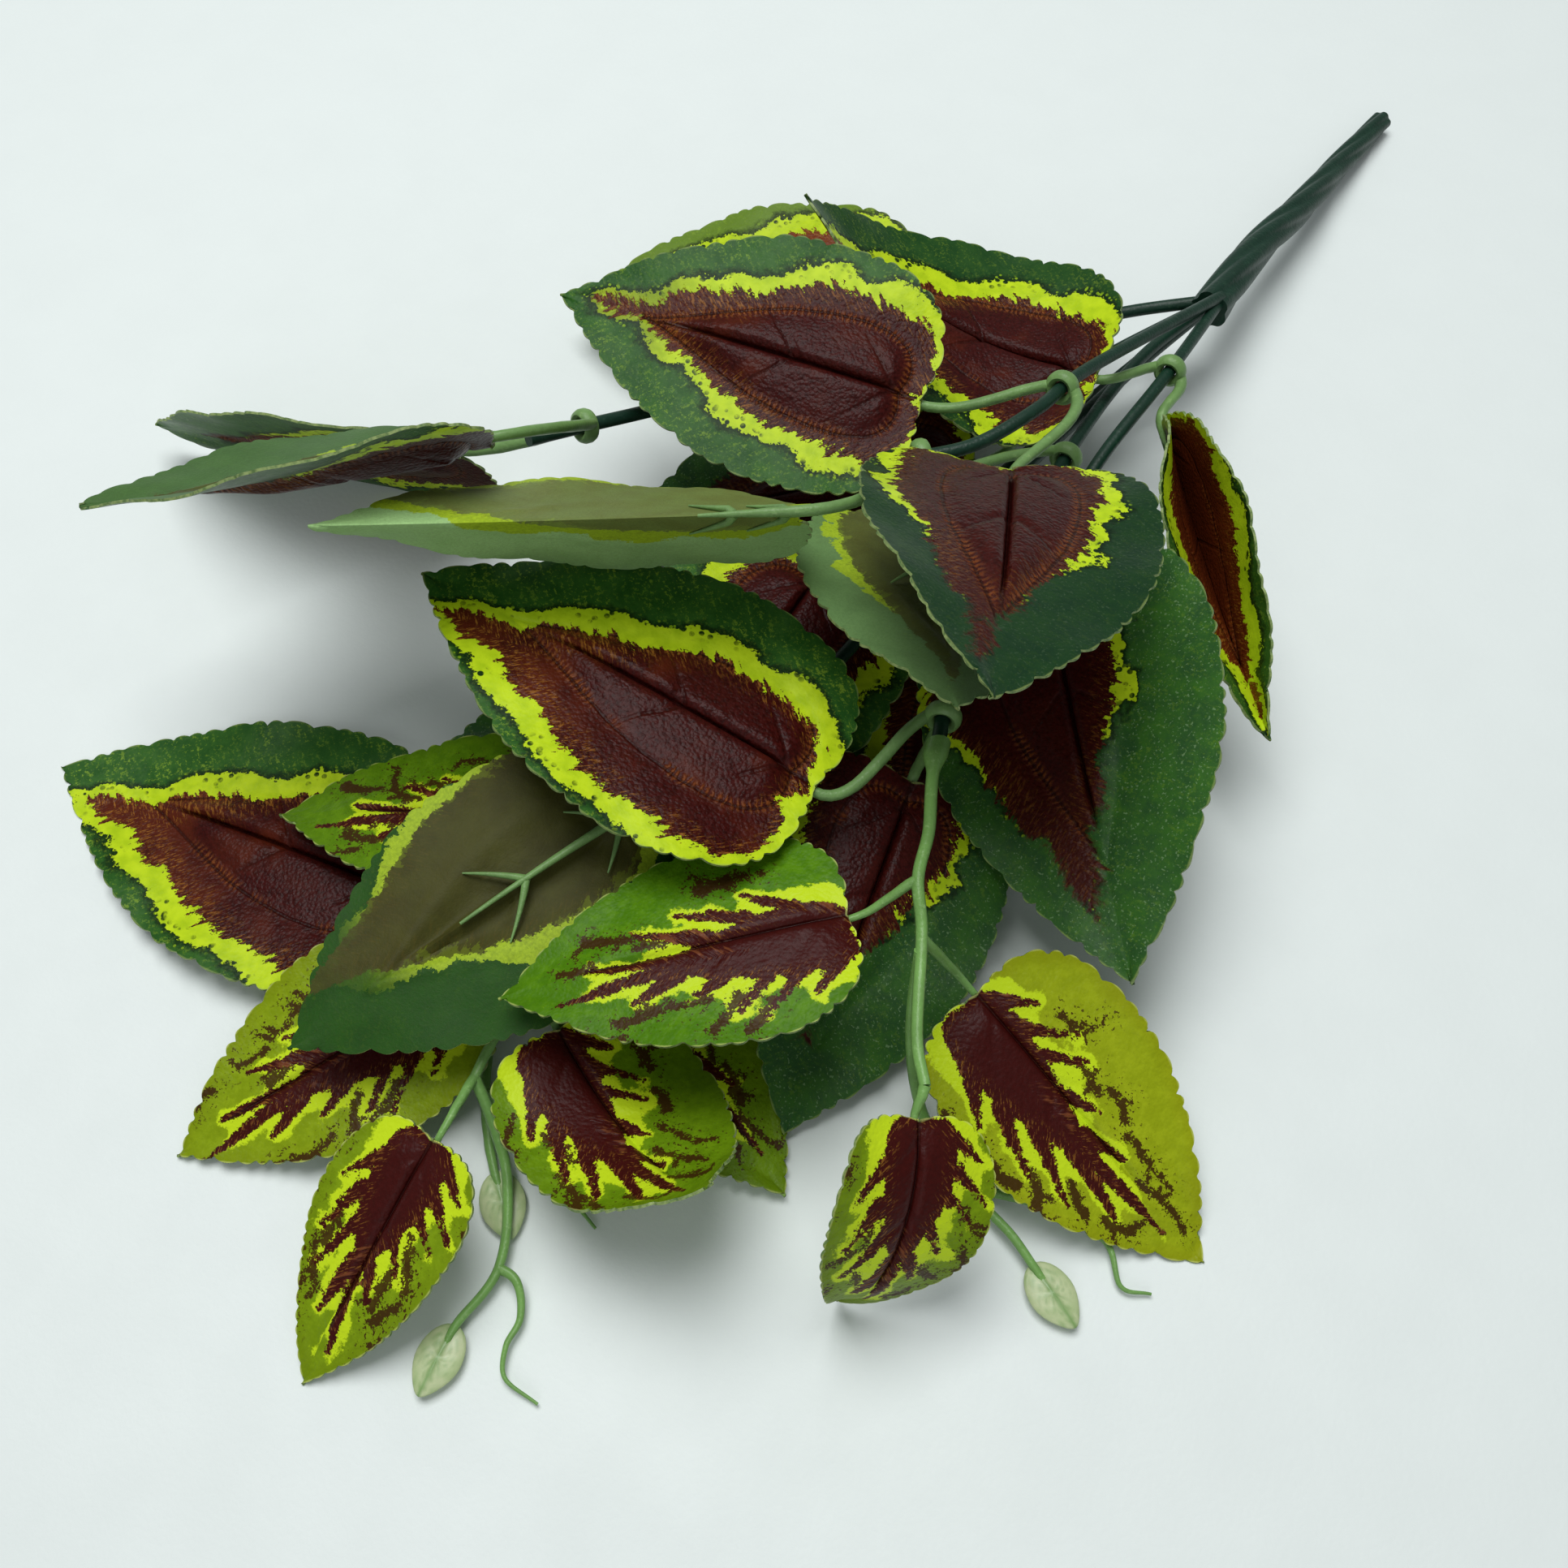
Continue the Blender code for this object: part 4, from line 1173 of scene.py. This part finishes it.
def large_leaf_top(colours):
    """The printed side of a large leaf, with stitches along the pressed line, and painted shade in that line
    and the creases.
    """
    paint = Paint("printed_large_leaf")
    place = paint.in_millimetres()
    colour, in_band, in_heart, ragged = print_large(paint, colours, place)
    across, along = paint.measure("across"), paint.measure("along")
    seam, stitch = paint.measure("seam"), paint.measure("stitch")
    near_seam = 1 - paint.step(abs(seam + ragged * 1.5 - 0.2), 0.3, 1.8)
    ticks = paint.step(paint.maths("PINGPONG", stitch + ragged * 3.0, STITCH_SPACING), 0.16, 0.5)
    stitches = ticks * near_seam * in_heart * paint.step(paint.grain(place, 10.0, 1.0), -0.16, 0.04)
    colour = paint.mix(stitches * 0.5, colour, STITCH_BROWN)
    # Painted shade: the groove of the pressed line is painted dark maroon
    line = (1 - paint.step(abs(seam), 0.1, 0.5)) * in_heart
    colour = paint.mix(line * 0.65, colour, CREASE_SHADE_MAROON)

    # Painted shade: the pressed midrib and the side creases are painted nearly black
    crease = (1 - paint.step(abs(across), 0.15, 0.8)) * (1 - paint.step(along, 50.0, 60.0))
    for root in CREASE_ROOTS:
        fork = abs(along - abs(across) * 0.95 - root - paint.grain(place, 8.0, 1.0) * 2.0)
        faint = 0.5 - paint.step(abs(across), 5.0, 12.0) * 0.5
        crease = paint.either(crease, (1 - paint.step(fork, 0.2, 0.9)) * faint)
    crease = crease * in_heart
    colour = paint.mix(crease * 0.6, colour, CREASE_SHADE_BLACK)
    edge = 1 - paint.step(paint.measure("margin") + ragged * 0.3, 0.12, 0.45)
    colour = paint.mix(edge * 0.5, colour, WORN_EDGE)

    pebble = paint.cells(place, 0.75) * -0.5
    wrinkle = paint.grain(place, 1.5, 3.0, 0.6)
    height = (pebble + wrinkle) * (0.3 + 0.7 * in_heart) + stitches * 0.7 - line * 0.6 - crease * 1.2
    roughness = 0.38 + ragged * 0.25 - in_band * 0.03
    return paint.finish(colour, roughness, paint.bump(height, 0.2 * MM), Specular_IOR_Level=0.1)


def large_leaf_back(colours):
    """The back of a large leaf: dull green with an olive centre where the print shows through; painted sheen
    makes pale ones sage.
    """
    paint = Paint("large_leaf_back")
    place = paint.in_millimetres()
    printed, in_band, _, ragged = print_large(paint, colours, place)
    cloth = paint.grain(place, 0.6, 3.0, 0.7)
    cloud = paint.step(paint.grain(place, 5.0, 3.0), -0.2, 0.25)
    # Painted sheen: the pale leaves' backs are painted light sage
    pale = paint.measure("pale")
    margin = paint.mix(pale, colours.underside, SHEEN_SAGE)
    margin = paint.mix(cloud * 0.5, margin, paint.mix(pale, UNDERSIDE_SHADE, SHEEN_SAGE_MOTTLE))
    centre = paint.mix(pale, OLIVE, SHEEN_OLIVE)
    centre = paint.mix(cloud * 0.6, centre, paint.mix(pale, OLIVE_SHADE, SHEEN_OLIVE_MOTTLE))
    ring = paint.mix(paint.step(cloth, -0.2, 0.3), RING_YELLOW, RING_SHADE)
    in_centre = paint.step(paint.measure("heart") + ragged * 5.0 + 0.8, -0.12, 0.12)
    colour = paint.mix(in_centre, paint.mix(in_band, margin, ring), centre)
    colour = paint.mix(paint.step(cloth, -0.3, 0.4) * 0.3, colour, WEAVE_SHADE)
    colour = paint.mix(0.1, colour, printed)
    normal = paint.bump(cloth + paint.grain(place, 6.0, 2.0) * 2.0, 0.1 * MM)
    return paint.finish(colour, 0.5, normal, Specular_IOR_Level=0.1)


def small_body(paint, colours, place, slow):
    """The small leaves' body, green to yellow by the leaf's tone, mottled and deeper towards its edge."""
    tone = paint.measure("tone")
    mottle = paint.step(paint.grain(place, 2.4, 4.0, 0.7), -0.12, 0.16)
    green = paint.mix(tone, colours.leaf_green, LIME)
    green = paint.mix(mottle * 0.55, green, paint.mix(tone, FRESH_GREEN, LEMON))
    near_edge = paint.step(paint.measure("margin") * -1.0 + slow * 5.0, -4.0, 0.5)
    return paint.mix(near_edge * 0.6, green, paint.mix(tone, MOSS_GREEN, MUSTARD))


def small_leaf_top(colours):
    """A small leaf's print: a maroon heart with fingers, bright between them, and dark branching lines."""
    paint = Paint("printed_small_leaf")
    place = paint.in_millimetres()
    spot = PrintPlace(paint)
    slow = paint.grain(spot.flat, 9.0, 1.0)
    ragged = paint.grain(place, 1.5, 4.0, 0.7)
    fine = paint.grain(place, 0.45, 2.0, 0.6)
    heart = paint.measure("heart") + ragged * 2.0 + fine * 1.4 + slow * 1.0
    in_heart = paint.step(heart, -0.1, 0.1)
    in_ring = paint.step(paint.measure("band") + slow * 8.0 + ragged * 3.0 + fine * 1.2, -0.3, 0.3)
    colour = paint.mix(in_ring, small_body(paint, colours, place, slow), colours.band)

    lines = paint.measure("lines") + ragged * 2.4 + fine * 2.6
    near = paint.step(lines, -3.4, -1.0) * paint.step(heart * -1.0, 1.0, 2.0)
    specks = paint.step(paint.grain(place, 0.8, 2.0, 0.7), 0.1, 0.14) * near
    marks = paint.either(paint.step(lines, -0.12, 0.12), specks)
    colour = paint.mix(marks * 0.96, colour, LINE_BROWN)

    leather = paint.grain(place, 0.8, 3.0, 0.7)
    maroon = paint.mix(paint.step(leather, -0.2, 0.25), colours.maroon, DARK_MAROON)
    flecks = paint.step(paint.grain(spot.fibres, 0.45, 3.0, 0.7), 0.06, 0.12)
    flecks = flecks * (1 - paint.step(heart, 0.0, 3.0))
    maroon = paint.mix(flecks * 0.7, maroon, FLECK_OCHRE)
    colour = paint.mix(in_heart, colour, maroon)
    from_midrib = abs(paint.measure("across"))
    # Painted shade: the pressed midrib is painted dark maroon
    midrib = (1 - paint.step(from_midrib, 0.1, 0.6)) * in_heart
    colour = paint.mix(midrib * 0.65, colour, CREASE_SHADE_MAROON)
    edge = 1 - paint.step(paint.measure("margin") + ragged * 0.3, 0.1, 0.38)
    colour = paint.mix(edge * 0.5, colour, PALE_EDGE)

    near_midrib = (1 - paint.step(from_midrib, 2.0, 6.0)) * in_heart
    crinkle = paint.grain(paint.vector(spot.rung, spot.across * 0.4, spot.side), 1.3, 2.0, 0.5) * near_midrib
    crinkle = crinkle * paint.step(paint.grain(spot.flat, 14.0, 0.0), -0.04, 0.06)
    # Painted highlight: the crests of the crinkles are painted light brown
    colour = paint.mix(paint.step(crinkle, 0.03, 0.12) * 0.5, colour, CRINKLE_HIGHLIGHT_BROWN)
    height = paint.cells(place, 0.7) * -0.4 + paint.grain(place, 1.6, 3.0) - midrib * 1.2 + crinkle * 4.0
    return paint.finish(colour, 0.38 + ragged * 0.2, paint.bump(height, 0.16 * MM), Specular_IOR_Level=0.1)


def small_leaf_back():
    """The back of a small leaf: light green with a dull olive heart."""
    paint = Paint("small_leaf_back")
    place = paint.in_millimetres()
    cloth = paint.grain(place, 0.6, 3.0, 0.7)
    heart = paint.step(paint.measure("heart") + paint.grain(place, 1.6, 4.0, 0.7) * 3.0, -0.2, 0.2)
    colour = paint.mix(paint.step(cloth, -0.2, 0.3), SMALL_BACK, SMALL_BACK_SHADE)
    colour = paint.mix(heart, colour, SMALL_BACK_HEART)
    return paint.finish(colour, 0.5, paint.bump(cloth, 0.1 * MM), Specular_IOR_Level=0.3)


def cut_edge():
    """The cut rim of the cloth, a little paler than the print."""
    paint = Paint("cut_edge")
    place = paint.in_millimetres()
    colour = paint.mix(paint.step(paint.grain(place, 0.8, 3.0), -0.15, 0.2), CUT_PALE, CUT_GREEN)
    return paint.finish(colour, 0.6)


def moulded(name, colour, pale, roughness):
    """Moulded plastic: faint cloudy tone, paler along rubbed places, with fine ripples."""
    paint = Paint(name)
    place = paint.in_millimetres()
    cloud = paint.grain(place, 5.0, 3.0, 0.6)
    worn = paint.step(paint.grain(place, 1.3, 3.0, 0.6), 0.08, 0.25)
    tone = paint.mix(paint.step(cloud, -0.25, 0.25), colour, [c * 0.78 for c in colour])
    tone = paint.mix(worn * 0.35, tone, pale)
    normal = paint.bump(paint.grain(place, 0.7, 3.0) + cloud, 0.12 * MM)
    return paint.finish(tone, roughness + cloud * 0.2, normal, Specular_IOR_Level=0.35)


def bud_paint(colours):
    """The bud leaf: thin pale plastic with greener ribs."""
    paint = Paint("bud_leaf")
    place = paint.in_millimetres()
    cloud = paint.grain(place, 2.0, 3.0)
    thin = paint.mix(paint.step(cloud, -0.2, 0.2), BUD_PALE, BUD_GREEN)
    colour = paint.mix(paint.measure("vein") * 0.85, thin, colours.spray)
    return paint.finish(colour, 0.35, paint.bump(cloud, 0.08 * MM), Transmission_Weight=0.25)


def table_paint(colour):
    """A matt table top with a barely visible mottle."""
    paint = Paint("table_top")
    place = paint.in_millimetres()
    mottle = paint.grain(place, 18.0, 4.0, 0.6)
    tone = paint.mix(paint.step(mottle, -0.3, 0.3) * 0.4, colour, [c * 0.93 for c in colour])
    normal = paint.bump(paint.grain(place, 1.2, 3.0), 0.05 * MM)
    return paint.finish(tone, 0.55 + mottle * 0.2, normal)


class COLEUS_OT_large_leaves(bpy.types.Operator):
    """Make the eighteen large leaves"""
    bl_idname = "coleus.large_leaves"
    bl_label = "Large leaves"

    def execute(self, context):
        coleus = context.scene.coleus
        paints = [large_leaf_top(coleus.colour), large_leaf_back(coleus.colour), cut_edge()]
        for leaf in LEAVES:
            if leaf.size is LARGE:
                make_leaf(leaf, paints, coleus.leaf)
        return {"FINISHED"}


class COLEUS_OT_small_leaves(bpy.types.Operator):
    """Make the small leaves of the sprays"""
    bl_idname = "coleus.small_leaves"
    bl_label = "Small leaves"

    def execute(self, context):
        coleus = context.scene.coleus
        paints = [small_leaf_top(coleus.colour), small_leaf_back(), cut_edge()]
        for leaf in LEAVES:
            if leaf.size is not LARGE:
                make_leaf(leaf, paints, coleus.leaf)
        return {"FINISHED"}


class COLEUS_OT_petioles(bpy.types.Operator):
    """Make the moulded rings, petioles and ribs"""
    bl_idname = "coleus.petioles"
    bl_label = "Petioles"

    def execute(self, context):
        colours = context.scene.coleus.colour
        paints = [moulded("petiole_plastic", colours.petiole, RUBBED_PETIOLE, 0.42)]
        for petioles in PETIOLES:
            make_petioles(petioles, paints)
        return {"FINISHED"}


class COLEUS_OT_sprays(bpy.types.Operator):
    """Make the light green sprays with their bud leaves and tendrils"""
    bl_idname = "coleus.sprays"
    bl_label = "Sprays"

    def execute(self, context):
        colours = context.scene.coleus.colour
        paints = [moulded("spray_plastic", colours.spray, RUBBED_SPRAY, 0.36), bud_paint(colours)]
        for spray in SPRAYS:
            make_spray(spray, paints)
        return {"FINISHED"}


class COLEUS_OT_stems(bpy.types.Operator):
    """Make the stems and the twisted handle"""
    bl_idname = "coleus.stems"
    bl_label = "Stems and handle"

    def execute(self, context):
        colours = context.scene.coleus.colour
        make_stems(moulded("stem_plastic", colours.stem, RUBBED_STEM, 0.45))
        return {"FINISHED"}


class COLEUS_OT_stage(bpy.types.Operator):
    """Make the table, the soft light and the camera"""
    bl_idname = "coleus.stage"
    bl_label = "Stage"

    def execute(self, context):
        stage = context.scene.coleus.stage
        table = bmesh.new()
        bmesh.ops.create_grid(table, x_segments=1, y_segments=1, size=TABLE_HALF_SIZE)
        top = make_object("table", table, [table_paint(stage.table)])
        for lamp in LAMPS:
            self.add_light(context, *lamp)
        self.add_room(context)
        self.add_camera(context, stage.lens)
        return {"FINISHED"}

    @staticmethod
    def add_light(context, name, place, size, power):
        data = bpy.data.lights.new(name, "AREA")
        data.size = size
        data.energy = power
        lamp = bpy.data.objects.new(name, data)
        lamp.location = place
        lamp.rotation_euler = (-Vector(place)).to_track_quat("-Z", "Y").to_euler()
        context.scene.collection.objects.link(lamp)

    @staticmethod
    def add_room(context):
        world = bpy.data.worlds.new("room")
        world.use_nodes = True
        background = world.node_tree.nodes["Background"]
        background.inputs["Color"].default_value = (*ROOM_LIGHT, 1)
        background.inputs["Strength"].default_value = ROOM_STRENGTH
        context.scene.world = world

    @staticmethod
    def add_camera(context, lens):
        camera = bpy.data.cameras.new("camera")
        camera.lens = lens
        camera.sensor_width = SENSOR_WIDTH
        camera.clip_start = CLIP_START
        view = bpy.data.objects.new("camera", camera)
        context.scene.collection.objects.link(view)
        bearing, height = math.radians(CAMERA_BEARING), math.radians(CAMERA_HEIGHT)
        back = Vector((math.sin(bearing) * math.cos(height), -math.cos(bearing) * math.cos(height),
                       math.sin(height)))
        view.location = to_part(CAMERA_PLACE)
        view.rotation_euler = (-back).to_track_quat("-Z", "Y").to_euler()
        context.scene.camera = view
        context.scene.view_settings.view_transform = "Standard"


OPERATORS = (COLEUS_OT_large_leaves, COLEUS_OT_small_leaves, COLEUS_OT_petioles, COLEUS_OT_sprays,
             COLEUS_OT_stems, COLEUS_OT_stage)


class COLEUS_PT_panel(bpy.types.Panel):
    """Lists the steps that make the bush"""
    bl_idname = "COLEUS_PT_panel"
    bl_label = "Artificial coleus bush"
    bl_space_type = "VIEW_3D"
    bl_region_type = "UI"
    bl_category = "Coleus"

    def draw(self, context):
        for operator in OPERATORS:
            self.layout.operator(operator.bl_idname)
        coleus = context.scene.coleus
        for group in (coleus.leaf, coleus.colour, coleus.stage):
            for name in group.__annotations__:
                self.layout.prop(group, name)


CLASSES = (LeafSettings, ColourSettings, StageSettings, ColeusSettings, *OPERATORS, COLEUS_PT_panel)


def register():
    for kind in CLASSES:
        bpy.utils.register_class(kind)
    bpy.types.Scene.coleus = bpy.props.PointerProperty(type=ColeusSettings)


def unregister():
    del bpy.types.Scene.coleus
    for kind in reversed(CLASSES):
        bpy.utils.unregister_class(kind)


def main():
    register()
    bpy.ops.coleus.large_leaves()
    bpy.ops.coleus.small_leaves()
    bpy.ops.coleus.petioles()
    bpy.ops.coleus.sprays()
    bpy.ops.coleus.stems()
    bpy.ops.coleus.stage()


if __name__ == "__main__":
    main()
